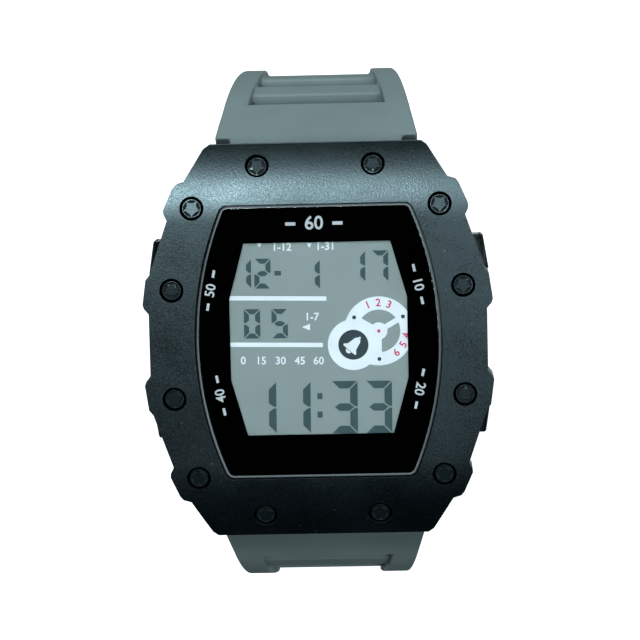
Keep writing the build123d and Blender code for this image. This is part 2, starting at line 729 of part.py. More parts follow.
# Case back screws, with cross slots
with BuildPart() as back_screws:
    with BuildSketch():
        with Locations(four_places(BACK_SCREW_X, BACK_SCREW_Y)):
            Circle(BACK_SCREW_HEAD_RADIUS)
    extrude(amount=BACK_SCREW_HEAD_HEIGHT)
    with BuildSketch(Plane.XY.offset(BACK_SCREW_HEAD_HEIGHT)):
        with Locations(four_places(BACK_SCREW_X, BACK_SCREW_Y)):
            Circle(BACK_SCREW_SHANK_RADIUS)
    extrude(amount=BACK_THICKNESS - BACK_SCREW_HEAD_HEIGHT + BACK_SCREW_REACH)
    with BuildSketch():
        with Locations(four_places(BACK_SCREW_X, BACK_SCREW_Y)):
            Rectangle(2 * BACK_SCREW_SHANK_RADIUS, BACK_SLOT_WIDTH)
            Rectangle(BACK_SLOT_WIDTH, 2 * BACK_SCREW_SHANK_RADIUS)
    extrude(amount=BACK_SLOT_DEPTH, mode=Mode.SUBTRACT)
back_screws.part.label = "back_screws"
export_step(back_screws.part, "parts/back_screws.step")

# Gasket between the case body and its back
with BuildPart() as back_gasket:
    with BuildSketch(Plane.XY.offset(BACK_THICKNESS)):
        outer = SEAL_MARGIN + SEAL_WIDTH - RUNNING_GAP
        inner = SEAL_MARGIN + RUNNING_GAP
        for grow, mode in ((outer, Mode.ADD), (inner, Mode.SUBTRACT)):
            RectangleRounded(
                CAVITY_WIDTH + 2 * grow, CAVITY_LENGTH + 2 * grow, CAVITY_CORNER + grow, mode=mode
            )
    extrude(amount=SEAL_DEPTH)
back_gasket.part.label = "back_gasket"
export_step(back_gasket.part, "parts/back_gasket.step")

# Lens and what lies under its rim
lens_sizes = [size - 2 * LENS_GAP for size in (OPENING_WIDTH, OPENING_LENGTH, OPENING_END_WIDTH)]
gasket_hole = (lens_sizes[0] - 2 * GASKET_WIDTH, lens_sizes[1] - 2 * GASKET_WIDTH)
with BuildPart() as lens:
    with BuildSketch(Plane.XY.offset(LENS_BOTTOM_Z)) as lens_plan:
        add(barrel(*lens_sizes))
        fillet(lens_plan.vertices(), radius=OPENING_CORNER)
    extrude(amount=LENS_THICKNESS)
    chamfer(lens.faces().sort_by(Axis.Z)[-1].edges(), length=LENS_EDGE)
lens.part.label = "lens"
export_step(lens.part, "parts/lens.step")

with BuildPart() as lens_gasket:
    with BuildSketch(Plane.XY.offset(DECK_TOP_Z)) as gasket_plan:
        add(barrel(*lens_sizes))
        fillet(gasket_plan.vertices(), radius=OPENING_CORNER)
        add(barrel(*gasket_hole, lens_sizes[2] - 2 * GASKET_WIDTH), mode=Mode.SUBTRACT)
    extrude(amount=GASKET_THICKNESS)
lens_gasket.part.label = "lens_gasket"
export_step(lens_gasket.part, "parts/lens_gasket.step")

# Black mask, whose window is wider over its middle than at its ends
with BuildPart() as lens_mask:
    with BuildSketch(Plane.XY.offset(MASK_BOTTOM_Z)) as mask_plan:
        add(barrel(*lens_sizes))
        fillet(mask_plan.vertices(), radius=OPENING_CORNER)
        half = WINDOW_LENGTH / 2
        bend = WINDOW_SIDE_LENGTH / 2
        side_points = [
            (WINDOW_END_WIDTH / 2, half),
            (WINDOW_WIDTH / 2, bend),
            (WINDOW_WIDTH / 2, -bend),
            (WINDOW_END_WIDTH / 2, -half),
        ]
        with Locations((0, WINDOW_SHIFT)):
            Polygon(
                *side_points,
                *[(-x, y) for x, y in reversed(side_points)],
                align=None,
                mode=Mode.SUBTRACT,
            )
    extrude(amount=MASK_THICKNESS)
lens_mask.part.label = "lens_mask"
export_step(lens_mask.part, "parts/lens_mask.step")


def display_sheet(name, width, length, bottom_z, thickness):
    """Flat sheet of the display stack, written under its name."""
    with BuildPart() as sheet:
        with BuildSketch(Plane.XY.offset(bottom_z)):
            Rectangle(width, length)
        extrude(amount=thickness)
    sheet.part.label = name
    export_step(sheet.part, f"parts/{name}.step")


# Display stack, from the printed overlay down to the light panel
film_width = GLASS_WIDTH - 2 * FILM_MARGIN
film_length = LOWER_GLASS_LENGTH - 2 * FILM_MARGIN
front_length = UPPER_GLASS_LENGTH - 2 * FILM_MARGIN
display_sheet("display_overlay", film_width, UPPER_GLASS_LENGTH, OVERLAY_BOTTOM_Z, OVERLAY_THICKNESS)
display_sheet("front_polariser", film_width, front_length, FRONT_FILM_BOTTOM_Z, POLARISER_THICKNESS)
display_sheet("upper_glass", GLASS_WIDTH, UPPER_GLASS_LENGTH, UPPER_GLASS_BOTTOM_Z, GLASS_THICKNESS)
display_sheet("lower_glass", GLASS_WIDTH, LOWER_GLASS_LENGTH, LOWER_GLASS_BOTTOM_Z, GLASS_THICKNESS)
display_sheet("rear_polariser", film_width, film_length, REAR_FILM_BOTTOM_Z, POLARISER_THICKNESS)

# Light panel, with a notch for the lamp at its side
with BuildPart() as light_panel:
    with BuildSketch(Plane.XY.offset(PANEL_BOTTOM_Z)):
        Rectangle(GLASS_WIDTH, LOWER_GLASS_LENGTH)
        with Locations((-(GLASS_WIDTH - LAMP_WIDTH) / 2, 0)):
            Rectangle(LAMP_WIDTH, LAMP_LENGTH, mode=Mode.SUBTRACT)
    extrude(amount=PANEL_THICKNESS)
light_panel.part.label = "light_panel"
export_step(light_panel.part, "parts/light_panel.step")

with BuildPart() as light_lamp:
    with BuildSketch(Plane.XY.offset(PANEL_BOTTOM_Z)):
        with Locations((-(GLASS_WIDTH - LAMP_WIDTH) / 2, 0)):
            Rectangle(LAMP_WIDTH - 2 * RUNNING_GAP, LAMP_LENGTH - 2 * RUNNING_GAP)
    extrude(amount=PANEL_THICKNESS - RUNNING_GAP)
light_lamp.part.label = "light_lamp"
export_step(light_lamp.part, "parts/light_lamp.step")

# Module frame: a tray for the display, slots for the contact strips and a pocket for the chip
with BuildPart() as module_frame:
    with BuildSketch(Plane.XY.offset(PCB_TOP_Z)):
        RectangleRounded(FRAME_WIDTH, FRAME_LENGTH, FRAME_CORNER)
    extrude(amount=FRAME_TOP_Z - PCB_TOP_Z)
    with BuildSketch(Plane.XY.offset(PANEL_BOTTOM_Z)):
        Rectangle(GLASS_WIDTH + 2 * SEAT_GAP, LOWER_GLASS_LENGTH + 2 * SEAT_GAP)
    extrude(amount=FRAME_TOP_Z, mode=Mode.SUBTRACT)
    with BuildSketch(Plane.XY.offset(PCB_TOP_Z)):
        with Locations((0, ZEBRA_Y), (0, -ZEBRA_Y)):
            Rectangle(ZEBRA_LENGTH + 2 * RUNNING_GAP, ZEBRA_WIDTH + 2 * RUNNING_GAP)
    extrude(amount=FRAME_TOP_Z, mode=Mode.SUBTRACT)
    with BuildSketch(Plane.XY.offset(PCB_TOP_Z)):
        pocket_width = 2 * (MODULE_SCREW_X - MODULE_SCREW_HEAD_RADIUS - FRAME_FLOOR)
        Rectangle(pocket_width, 2 * (ZEBRA_Y - ZEBRA_WIDTH / 2 - FRAME_FLOOR))
    extrude(amount=PANEL_BOTTOM_Z - FRAME_FLOOR - PCB_TOP_Z, mode=Mode.SUBTRACT)
    with BuildSketch(Plane.XY.offset(PCB_TOP_Z)):
        with Locations(four_places(MODULE_SCREW_X, MODULE_SCREW_Y)):
            Circle(MODULE_SCREW_RADIUS)
    extrude(amount=MODULE_SCREW_REACH, mode=Mode.SUBTRACT)
module_frame.part.label = "module_frame"
export_step(module_frame.part, "parts/module_frame.step")

# Circuit board, and what is soldered or pressed on it
with BuildPart() as circuit_board:
    with BuildSketch(Plane.XY.offset(PCB_BOTTOM_Z)):
        RectangleRounded(PCB_WIDTH, PCB_LENGTH, FRAME_CORNER - PCB_INSET)
        with Locations(four_places(MODULE_SCREW_X, MODULE_SCREW_Y)):
            Circle(MODULE_SCREW_RADIUS + RUNNING_GAP, mode=Mode.SUBTRACT)
    extrude(amount=PCB_THICKNESS)
circuit_board.part.label = "circuit_board"
export_step(circuit_board.part, "parts/circuit_board.step")

with BuildPart() as module_screws:
    with BuildSketch(Plane.XY.offset(PCB_BOTTOM_Z - MODULE_SCREW_HEAD_HEIGHT)):
        with Locations(four_places(MODULE_SCREW_X, MODULE_SCREW_Y)):
            Circle(MODULE_SCREW_HEAD_RADIUS)
    extrude(amount=MODULE_SCREW_HEAD_HEIGHT)
    with BuildSketch(Plane.XY.offset(PCB_BOTTOM_Z)):
        with Locations(four_places(MODULE_SCREW_X, MODULE_SCREW_Y)):
            Circle(MODULE_SCREW_RADIUS)
    extrude(amount=PCB_THICKNESS + MODULE_SCREW_REACH)
module_screws.part.label = "module_screws"
export_step(module_screws.part, "parts/module_screws.step")

with BuildPart() as chip:
    with BuildSketch(Plane.XY.offset(PCB_TOP_Z)):
        RectangleRounded(CHIP_SIZE, CHIP_SIZE, CHIP_CORNER)
    extrude(amount=CHIP_HEIGHT)
    fillet(chip.faces().sort_by(Axis.Z)[-1].edges(), radius=CHIP_HEIGHT / 2)
chip.part.label = "chip"
export_step(chip.part, "parts/chip.step")

with BuildPart() as quartz_crystal:
    add(
        rod(
            [
                (
                    CRYSTAL_Y,
                    PCB_BOTTOM_Z - CRYSTAL_RADIUS,
                    CRYSTAL_X - CRYSTAL_LENGTH / 2,
                    CRYSTAL_LENGTH,
                    CRYSTAL_RADIUS,
                )
            ]
        )
    )
quartz_crystal.part.label = "quartz_crystal"
export_step(quartz_crystal.part, "parts/quartz_crystal.step")

with BuildPart() as capacitors:
    with BuildSketch(Plane.XY.offset(PCB_TOP_Z)):
        with Locations((CHIP_SIZE / 2 + CAPACITOR_PITCH, 0)):
            with GridLocations(CAPACITOR_PITCH, CAPACITOR_PITCH, 1, CAPACITOR_COUNT):
                Rectangle(CAPACITOR_LENGTH, CAPACITOR_WIDTH)
    extrude(amount=CAPACITOR_HEIGHT)
capacitors.part.label = "capacitors"
export_step(capacitors.part, "parts/capacitors.step")

# Striped rubber contact strips between the board and the upper glass
with BuildPart() as contact_strips:
    with BuildSketch(Plane.XY.offset(PCB_TOP_Z)):
        with Locations((0, ZEBRA_Y), (0, -ZEBRA_Y)):
            Rectangle(ZEBRA_LENGTH, ZEBRA_WIDTH)
    extrude(amount=UPPER_GLASS_BOTTOM_Z - PCB_TOP_Z)
contact_strips.part.label = "contact_strips"
export_step(contact_strips.part, "parts/contact_strips.step")

with BuildPart() as switch_contacts:
    for side, end in CORNERS.values():
        plate_x = FRAME_WIDTH / 2 - SWITCH_THICKNESS
        with BuildSketch(across_plane(side * plate_x, end * PUSHER_Y, PUSHER_Z, side)):
            Rectangle(SWITCH_LENGTH, SWITCH_HEIGHT)
        extrude(amount=SWITCH_THICKNESS)
switch_contacts.part.label = "switch_contacts"
export_step(switch_contacts.part, "parts/switch_contacts.step")

# Coin cell with its stepped cap, the clip below it and the leaf above it
with BuildPart() as battery:
    cap_height = BATTERY_THICKNESS * BATTERY_CAN_SHARE
    with BuildSketch(Plane.XY.offset(BATTERY_BOTTOM_Z)):
        Circle(BATTERY_RADIUS)
    extrude(amount=BATTERY_THICKNESS - cap_height)
    with BuildSketch(Plane.XY.offset(BATTERY_TOP_Z - cap_height)):
        Circle(BATTERY_RADIUS - BATTERY_CAP_INSET)
    extrude(amount=cap_height)
battery.part.label = "battery"
export_step(battery.part, "parts/battery.step")

with BuildPart() as battery_clip:
    inner_x = BATTERY_RADIUS + SEAT_GAP
    with BuildSketch(Plane.XY.offset(BATTERY_BOTTOM_Z - CONTACT_THICKNESS)):
        Rectangle(2 * (inner_x + CONTACT_THICKNESS), CLIP_WIDTH)
    extrude(amount=PCB_BOTTOM_Z - BATTERY_BOTTOM_Z + CONTACT_THICKNESS)
    with BuildSketch(Plane.XY.offset(BATTERY_BOTTOM_Z)):
        Rectangle(2 * inner_x, CLIP_WIDTH)
    extrude(amount=PCB_BOTTOM_Z, mode=Mode.SUBTRACT)
battery_clip.part.label = "battery_clip"
export_step(battery_clip.part, "parts/battery_clip.step")

with BuildPart() as battery_contact:
    with BuildSketch(Plane.XY.offset(BATTERY_TOP_Z)):
        Rectangle(LEAF_LENGTH, LEAF_WIDTH)
    extrude(amount=CONTACT_THICKNESS)
battery_contact.part.label = "battery_contact"
export_step(battery_contact.part, "parts/battery_contact.step")

# Buzzer disc on the case back, and the spring that feeds it
with BuildPart() as piezo_buzzer:
    with BuildSketch(Plane.XY.offset(BACK_THICKNESS)):
        with Locations((0, PIEZO_Y)):
            Circle(PIEZO_RADIUS)
    extrude(amount=PIEZO_THICKNESS)
    with BuildSketch(Plane.XY.offset(BACK_THICKNESS + PIEZO_THICKNESS)):
        with Locations((0, PIEZO_Y)):
            Circle(PIEZO_RADIUS * PIEZO_DISC_SHARE)
    extrude(amount=PIEZO_THICKNESS * PIEZO_DISC_SHARE)
piezo_buzzer.part.label = "piezo_buzzer"
export_step(piezo_buzzer.part, "parts/piezo_buzzer.step")

with BuildPart() as piezo_spring:
    spring_foot = BACK_THICKNESS + PIEZO_THICKNESS
    add(
        coil(
            Plane(origin=(0, PIEZO_SPRING_Y, spring_foot + PIEZO_SPRING_WIRE / 2)),
            PCB_BOTTOM_Z - spring_foot,
            PIEZO_SPRING_RADIUS - PIEZO_SPRING_WIRE / 2,
            PIEZO_SPRING_WIRE,
            PIEZO_SPRING_TURNS,
        )
    )
piezo_spring.part.label = "piezo_spring"
export_step(piezo_spring.part, "parts/piezo_spring.step")

# Side pushers, each with its seal ring, its clip and its return spring
for name, (side, end) in CORNERS.items():
    seat_y = end * PUSHER_Y
    with BuildPart() as pusher:
        corners = []
        for across in SIDES:
            fall = across * PUSHER_LENGTH / 2 * sin(radians(PUSHER_LEAN)) / cos(radians(PUSHER_LEAN))
            y = end * (PUSHER_Y + across * PUSHER_LENGTH / 2)
            corners += [(side * PUSHER_INNER_X, y), (side * (PUSHER_FACE_X - fall), y)]
        with BuildSketch(Plane.XY.offset(PUSHER_Z - PUSHER_HEIGHT / 2)):
            Polygon(corners[0], corners[1], corners[3], corners[2], align=None)
        extrude(amount=PUSHER_HEIGHT)
        outer_face = pusher.faces().sort_by(Axis.X)[-1 if side > 0 else 0]
        fillet(outer_face.edges(), radius=PUSHER_EDGE)
        with BuildSketch(across_plane(side * PUSHER_INNER_X, seat_y, PUSHER_Z, side)):
            Circle(STEM_RADIUS)
        extrude(amount=STEM_END_X - PUSHER_INNER_X)
        for groove_x, groove_width in ((STEM_CLIP_X, STEM_CLIP_THICKNESS), (RING_X, RING_WIDTH)):
            half_width = groove_width / 2 + RUNNING_GAP
            with BuildSketch(across_plane(side * groove_x, seat_y, PUSHER_Z, side)):
                Circle(STEM_RADIUS + RUNNING_GAP)
                Circle(STEM_GROOVE_RADIUS, mode=Mode.SUBTRACT)
            extrude(amount=half_width, both=True, mode=Mode.SUBTRACT)
    pusher.part.label = f"pusher_{name}"
    export_step(pusher.part, f"parts/pusher_{name}.step")

    with BuildPart() as seal_ring:
        with BuildSketch(across_plane(side * RING_X, seat_y, PUSHER_Z, side)):
            Circle(STEM_RADIUS + RUNNING_GAP / 2)
            Circle(STEM_GROOVE_RADIUS, mode=Mode.SUBTRACT)
        extrude(amount=RING_WIDTH / 2, both=True)
    seal_ring.part.label = f"seal_ring_{name}"
    export_step(seal_ring.part, f"parts/seal_ring_{name}.step")

    with BuildPart() as stem_clip:
        clip_start = side * (STEM_CLIP_X - STEM_CLIP_THICKNESS / 2)
        with BuildSketch(across_plane(clip_start, seat_y, PUSHER_Z, side)):
            Circle(STEM_CLIP_RADIUS)
            Circle(STEM_GROOVE_RADIUS, mode=Mode.SUBTRACT)
            with Locations((0, -STEM_CLIP_RADIUS)):
                Rectangle(STEM_CLIP_MOUTH, 2 * STEM_CLIP_RADIUS, mode=Mode.SUBTRACT)
        extrude(amount=STEM_CLIP_THICKNESS)
    stem_clip.part.label = f"stem_clip_{name}"
    export_step(stem_clip.part, f"parts/stem_clip_{name}.step")

    with BuildPart() as return_spring:
        spring_start = side * (SPRING_SEAT_X + SPRING_WIRE / 2)
        add(
            coil(
                across_plane(spring_start, seat_y, PUSHER_Z, side),
                PUSHER_INNER_X - SPRING_SEAT_X,
                SPRING_RADIUS,
                SPRING_WIRE,
                SPRING_TURNS,
            )
        )
    return_spring.part.label = f"return_spring_{name}"
    export_step(return_spring.part, f"parts/return_spring_{name}.step")

# Pins that hold the strap halves between the lugs
for name, end in (("upper", 1), ("lower", -1)):
    with BuildPart() as strap_pin:
        barrel_end = LUG_INNER_X - RUNNING_GAP
        tip_end = LUG_INNER_X + PIN_TIP_LENGTH
        add(
            rod(
                [
                    (end * PIN_Y, PIN_Z, -barrel_end, 2 * barrel_end, PIN_RADIUS),
                    (end * PIN_Y, PIN_Z, -tip_end, 2 * tip_end, PIN_TIP_RADIUS),
                ]
            )
        )
    strap_pin.part.label = f"strap_pin_{name}"
    export_step(strap_pin.part, f"parts/strap_pin_{name}.step")

# Upper strap half, which ends in a knuckle for the buckle's pin
upper_end = route_length(UPPER_ROUTE)
buckle_seat = face_plane(UPPER_ROUTE, 1, upper_end)
pin_y, pin_z = buckle_seat.origin.Y, buckle_seat.origin.Z
keeper_seat = face_plane(UPPER_ROUTE, 1, upper_end - FIXED_KEEPER_FROM_PIN)
with BuildPart() as strap_upper:
    add(strap_band(UPPER_ROUTE, 1))
    add(rod([(pin_y, pin_z, -STRAP_WIDTH / 2, STRAP_WIDTH, BUCKLE_KNUCKLE_RADIUS)]))
    bore = BUCKLE_PIN_RADIUS + RUNNING_GAP
    add(rod([(pin_y, pin_z, -STRAP_WIDTH, 2 * STRAP_WIDTH, bore)]), mode=Mode.SUBTRACT)
    with BuildSketch(buckle_seat):
        Rectangle(TONGUE_SLOT_WIDTH, 2 * TONGUE_SLOT_REACH)
    extrude(amount=2 * BUCKLE_KNUCKLE_RADIUS, both=True, mode=Mode.SUBTRACT)
    with BuildSketch(keeper_seat.offset(-STRAP_INNER)):
        Circle(KEEPER_PEG_RADIUS + RUNNING_GAP)
    extrude(amount=KEEPER_PEG_LENGTH, mode=Mode.SUBTRACT)
strap_upper.part.label = "strap_upper"
export_step(strap_upper.part, "parts/strap_upper.step")

# Lower strap half, with a rounded tip and a row of tongue holes
lower_end = route_length(LOWER_ROUTE)
band_depth = STRAP_INNER + STRAP_OUTER + 2 * OVERRUN
with BuildPart() as strap_lower:
    add(strap_band(LOWER_ROUTE, -1))
    with BuildSketch(face_plane(LOWER_ROUTE, -1, lower_end).offset(-STRAP_INNER - OVERRUN)):
        with Locations((0, -TAIL_TIP_RADIUS / 2)):
            Rectangle(STRAP_WIDTH + OVERRUN, TAIL_TIP_RADIUS)
        with Locations((0, -2 * TAIL_TIP_RADIUS)):
            RectangleRounded(
                STRAP_WIDTH, 2 * (2 * TAIL_TIP_RADIUS), TAIL_TIP_RADIUS, mode=Mode.SUBTRACT
            )
    extrude(amount=band_depth, mode=Mode.SUBTRACT)
    for hole in range(HOLE_COUNT):
        place = lower_end - LAST_HOLE_FROM_TIP - hole * HOLE_PITCH
        with BuildSketch(face_plane(LOWER_ROUTE, -1, place).offset(-STRAP_INNER - OVERRUN)):
            Circle(HOLE_RADIUS)
        extrude(amount=band_depth, mode=Mode.SUBTRACT)
strap_lower.part.label = "strap_lower"
export_step(strap_lower.part, "parts/strap_lower.step")

# Buckle frame, open towards the strap, with a notch that the tongue rests in
arm_hole = BUCKLE_PIN_TIP_RADIUS + RUNNING_GAP
arm_end = BUCKLE_INNER_WIDTH / 2 + BUCKLE_RAIL
with BuildPart() as buckle_frame:
    with BuildSketch(buckle_seat.offset(-BUCKLE_THICKNESS / 2)):
        with Locations((0, (BUCKLE_REACH - BUCKLE_RAIL) / 2)):
            RectangleRounded(2 * arm_end, BUCKLE_REACH + BUCKLE_RAIL, BUCKLE_RAIL * BUCKLE_TIP_SHARE)
        with Locations((0, (BUCKLE_REACH - BUCKLE_BAR) / 2 - BUCKLE_RAIL)):
            Rectangle(
                BUCKLE_INNER_WIDTH, BUCKLE_REACH - BUCKLE_BAR + 2 * BUCKLE_RAIL, mode=Mode.SUBTRACT
            )
    extrude(amount=BUCKLE_THICKNESS)
    frame_faces = buckle_frame.faces().filter_by(Plane(origin=(0, 0, 0), z_dir=buckle_seat.z_dir))
    chamfer(frame_faces.edges(), length=BUCKLE_EDGE)
    with BuildSketch(buckle_seat.offset(BUCKLE_THICKNESS / 2)):
        with Locations((0, BUCKLE_REACH)):
            Rectangle(TONGUE_WIDTH + 2 * KEEPER_GAP, 2 * (BUCKLE_BAR + OVERRUN))
    extrude(amount=-BUCKLE_NOTCH_DEPTH, mode=Mode.SUBTRACT)
    add(rod([(pin_y, pin_z, -arm_end, 2 * arm_end, arm_hole)]), mode=Mode.SUBTRACT)
buckle_frame.part.label = "buckle_frame"
export_step(buckle_frame.part, "parts/buckle_frame.step")

with BuildPart() as buckle_pin:
    barrel_end = BUCKLE_INNER_WIDTH / 2 - RUNNING_GAP
    tip_end = arm_end - RUNNING_GAP
    add(
        rod(
            [
                (pin_y, pin_z, -barrel_end, 2 * barrel_end, BUCKLE_PIN_RADIUS),
                (pin_y, pin_z, -tip_end, 2 * tip_end, BUCKLE_PIN_TIP_RADIUS),
            ]
        )
    )
buckle_pin.part.label = "buckle_pin"
export_step(buckle_pin.part, "parts/buckle_pin.step")

# Tongue: an eye on the pin and a bar that lies in the frame's notch
tongue_plane = Plane(origin=buckle_seat.origin, x_dir=buckle_seat.y_dir, z_dir=(1, 0, 0))
tongue_reach = BUCKLE_REACH + TONGUE_OVERHANG
with BuildPart() as buckle_tongue:
    with BuildSketch(tongue_plane):
        Circle(TONGUE_EYE_RADIUS)
        with Locations((tongue_reach / 2, TONGUE_EYE_RADIUS - TONGUE_THICKNESS / 2)):
            Rectangle(tongue_reach, TONGUE_THICKNESS)
        Circle(BUCKLE_PIN_RADIUS + RUNNING_GAP, mode=Mode.SUBTRACT)
    extrude(amount=TONGUE_WIDTH / 2, both=True)
    tip_face = buckle_tongue.faces().filter_by(GeomType.PLANE).sort_by(
        Axis(buckle_seat.origin, buckle_seat.y_dir)
    )[-1]
    tip_edges = tip_face.edges().filter_by(Axis(buckle_seat.origin, buckle_seat.z_dir))
    fillet(tip_edges, radius=TONGUE_OVERHANG)
buckle_tongue.part.label = "buckle_tongue"
export_step(buckle_tongue.part, "parts/buckle_tongue.step")


def keeper_ring(distance):
    """Rectangular keeper round the strap, with room over it for the other half's tail."""
    low = -STRAP_INNER - KEEPER_GAP
    high = STRAP_OUTER + KEEPER_ROOM
    inner_width = STRAP_WIDTH + 2 * KEEPER_GAP
    with BuildPart() as ring:
        with BuildSketch(section_plane(UPPER_ROUTE, 1, distance)):
            with Locations((0, (low + high) / 2)):
                RectangleRounded(
                    inner_width + 2 * KEEPER_WALL, high - low + 2 * KEEPER_WALL, KEEPER_WALL
                )
                RectangleRounded(inner_width, high - low, KEEPER_EDGE, mode=Mode.SUBTRACT)
        extrude(amount=KEEPER_WIDTH / 2, both=True)
    return ring.part


# Keepers: one pegged to the strap, one free to slide along it
with BuildPart() as fixed_keeper:
    add(keeper_ring(upper_end - FIXED_KEEPER_FROM_PIN))
    with BuildSketch(keeper_seat.offset(-STRAP_INNER - KEEPER_GAP)):
        Circle(KEEPER_PEG_RADIUS)
    extrude(amount=KEEPER_PEG_LENGTH)
fixed_keeper.part.label = "fixed_keeper"
export_step(fixed_keeper.part, "parts/fixed_keeper.step")

with BuildPart() as loose_keeper:
    add(keeper_ring(upper_end - LOOSE_KEEPER_FROM_PIN))
loose_keeper.part.label = "loose_keeper"
export_step(loose_keeper.part, "parts/loose_keeper.step")
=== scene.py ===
import itertools
import math

import bmesh
import bpy
from mathutils import Matrix, Vector


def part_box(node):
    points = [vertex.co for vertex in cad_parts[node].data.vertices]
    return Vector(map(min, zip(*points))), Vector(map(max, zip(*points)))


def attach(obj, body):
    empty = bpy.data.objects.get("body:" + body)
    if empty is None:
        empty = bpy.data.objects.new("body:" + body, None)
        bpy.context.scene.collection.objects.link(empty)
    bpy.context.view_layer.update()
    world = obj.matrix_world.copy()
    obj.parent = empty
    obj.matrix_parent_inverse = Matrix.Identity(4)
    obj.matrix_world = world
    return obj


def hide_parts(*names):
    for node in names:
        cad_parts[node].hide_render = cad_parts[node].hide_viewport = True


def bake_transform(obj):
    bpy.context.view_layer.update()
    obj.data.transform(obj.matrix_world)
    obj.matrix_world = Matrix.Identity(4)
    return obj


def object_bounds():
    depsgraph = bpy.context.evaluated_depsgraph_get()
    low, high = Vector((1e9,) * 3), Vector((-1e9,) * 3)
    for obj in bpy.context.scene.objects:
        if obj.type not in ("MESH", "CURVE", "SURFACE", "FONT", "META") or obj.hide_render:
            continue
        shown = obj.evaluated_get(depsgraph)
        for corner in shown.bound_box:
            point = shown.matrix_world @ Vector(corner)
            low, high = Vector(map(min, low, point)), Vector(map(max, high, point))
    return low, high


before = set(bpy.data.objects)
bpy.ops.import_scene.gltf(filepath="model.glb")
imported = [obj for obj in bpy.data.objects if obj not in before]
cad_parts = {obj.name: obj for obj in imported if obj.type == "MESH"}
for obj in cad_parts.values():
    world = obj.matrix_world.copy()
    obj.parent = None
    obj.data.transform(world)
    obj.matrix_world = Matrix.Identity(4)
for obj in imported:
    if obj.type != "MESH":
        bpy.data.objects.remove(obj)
cad_low, cad_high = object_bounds()

# Lengths below are millimetres in the part's frame, and angles are degrees.
MM = 0.001

# Strap, as in the part: measured along its middle line from the case pin
PIN_Y, PIN_Z = 22.2, 4.4
ROOT_ANGLE = 36.0
SHOULDER_LENGTH, SHOULDER_TURN = 7.8, 10.0
SIDE_RADIUS, SIDE_TURN = 16.0, 50.0
CURL_RADIUS, CURL_TURN = 20.0, 64.0
STRAIGHT_END = 18.0
TAIL_DROP = 21.0
TAIL_CURVE_RADIUS = 22.0
TAIL_FLAT = 26.0
STRAP_ROOT_WIDTH, STRAP_WIDTH = 26.4, 20.0
TAPER_START, TAPER_END = 3.0, 20.0
STRAP_OUTER, STRAP_INNER = 1.6, 1.4
STRAP_ROOT_RISE = 0.6
KNUCKLE_RADIUS, KNUCKLE_LENGTH, KNUCKLE_BORE = 2.8, 22.4, 0.95
KNUCKLE_ROOM = 3.1
BAND_START = 1.7
VENT_START, VENT_COUNT = 9.0, 4
VENT_LENGTH, VENT_PITCH = 2.5, 5.0
VENT_RAIL = 3.1
BAR_DROP = 0.7
BUCKLE_KNUCKLE_RADIUS, BUCKLE_KNUCKLE_BORE = 1.9, 0.8
BUCKLE_END_GAP = 1.3
TONGUE_SLOT_WIDTH, TONGUE_SLOT_REACH = 3.4, 3.6
TIP_RADIUS = 7.0
HOLE_RADIUS, HOLE_PITCH, HOLE_COUNT = 1.3, 6.0, 8
LAST_HOLE_FROM_TIP = 14.0

# Strap lattice: its longest cell, the half side of the patch round a hole, and the extra lines
STRAP_STEP = 1.15
HOLE_PATCH = 2.2
HOLE_LINES = (-1, -0.5, 0, 0.5, 1)
TIP_LINE_ANGLES = range(0, 90, 6)
TUBE_STEPS = 40
ROUNDING = 1e-6

# Sides of a lattice cell: the step to the neighbour in row, column and layer, and the side's corners
CELL_SIDES = (
    ((-1, 0, 0), ((0, 0, 0), (0, 0, 1), (0, 1, 1), (0, 1, 0))),
    ((1, 0, 0), ((1, 0, 0), (1, 1, 0), (1, 1, 1), (1, 0, 1))),
    ((0, -1, 0), ((0, 0, 0), (1, 0, 0), (1, 0, 1), (0, 0, 1))),
    ((0, 1, 0), ((0, 1, 0), (0, 1, 1), (1, 1, 1), (1, 1, 0))),
    ((0, 0, -1), ((0, 0, 0), (0, 1, 0), (1, 1, 0), (1, 0, 0))),
    ((0, 0, 1), ((0, 0, 1), (1, 0, 1), (1, 1, 1), (0, 1, 1))),
)

# Keepers: sizes, with heights over the strap's middle line, then node, body and place from the buckle pin
KEEPER_WIDTH, KEEPER_WALL = 4.6, 1.2
KEEPER_LOW, KEEPER_HIGH = -1.55, 4.9
KEEPER_INNER_WIDTH, KEEPER_CORNER = 20.3, 0.5
KEEPERS = (("fixed_keeper", "upper_strap", 5.6), ("loose_keeper", "loose_keeper", 11.6))

# Edge rounding: radii of the rubber, and the angles that count as an edge
STRAP_EDGE, KEEPER_EDGE = 0.38, 0.35
HARD_EDGE_ANGLE, RUBBER_EDGE_ANGLE = 28.0, 35.0
EDGE_SEGMENTS = 3
WELD_DISTANCE = 0.0005
FLAT_ANGLE = 0.6
FLAT_FACE_WEIGHT = 60

# Display: thickness of its printing, turn of the printing and of the digits, and digit sizes
PRINT_THICKNESS = 0.03
DISPLAY_TURN, DIGIT_TURN = -1.3, -0.65
DATE_DIGIT = (2.1, 3.85)
CORNER_DIGIT = (2.15, 4.05)
DAY_DIGIT = (2.1, 3.8)
TIME_DIGIT = (3.4, 6.8)
DATE_STROKE, TIME_STROKE = 0.66, 0.98
DIGIT_GAP = 0.1
SEGMENT_NOSE = 0.35

# Segments lit in the digits that show
LIT_SEGMENTS = {"0": "abcdef", "1": "bc", "2": "abdeg", "3": "abcdg", "5": "acdfg", "7": "abc"}

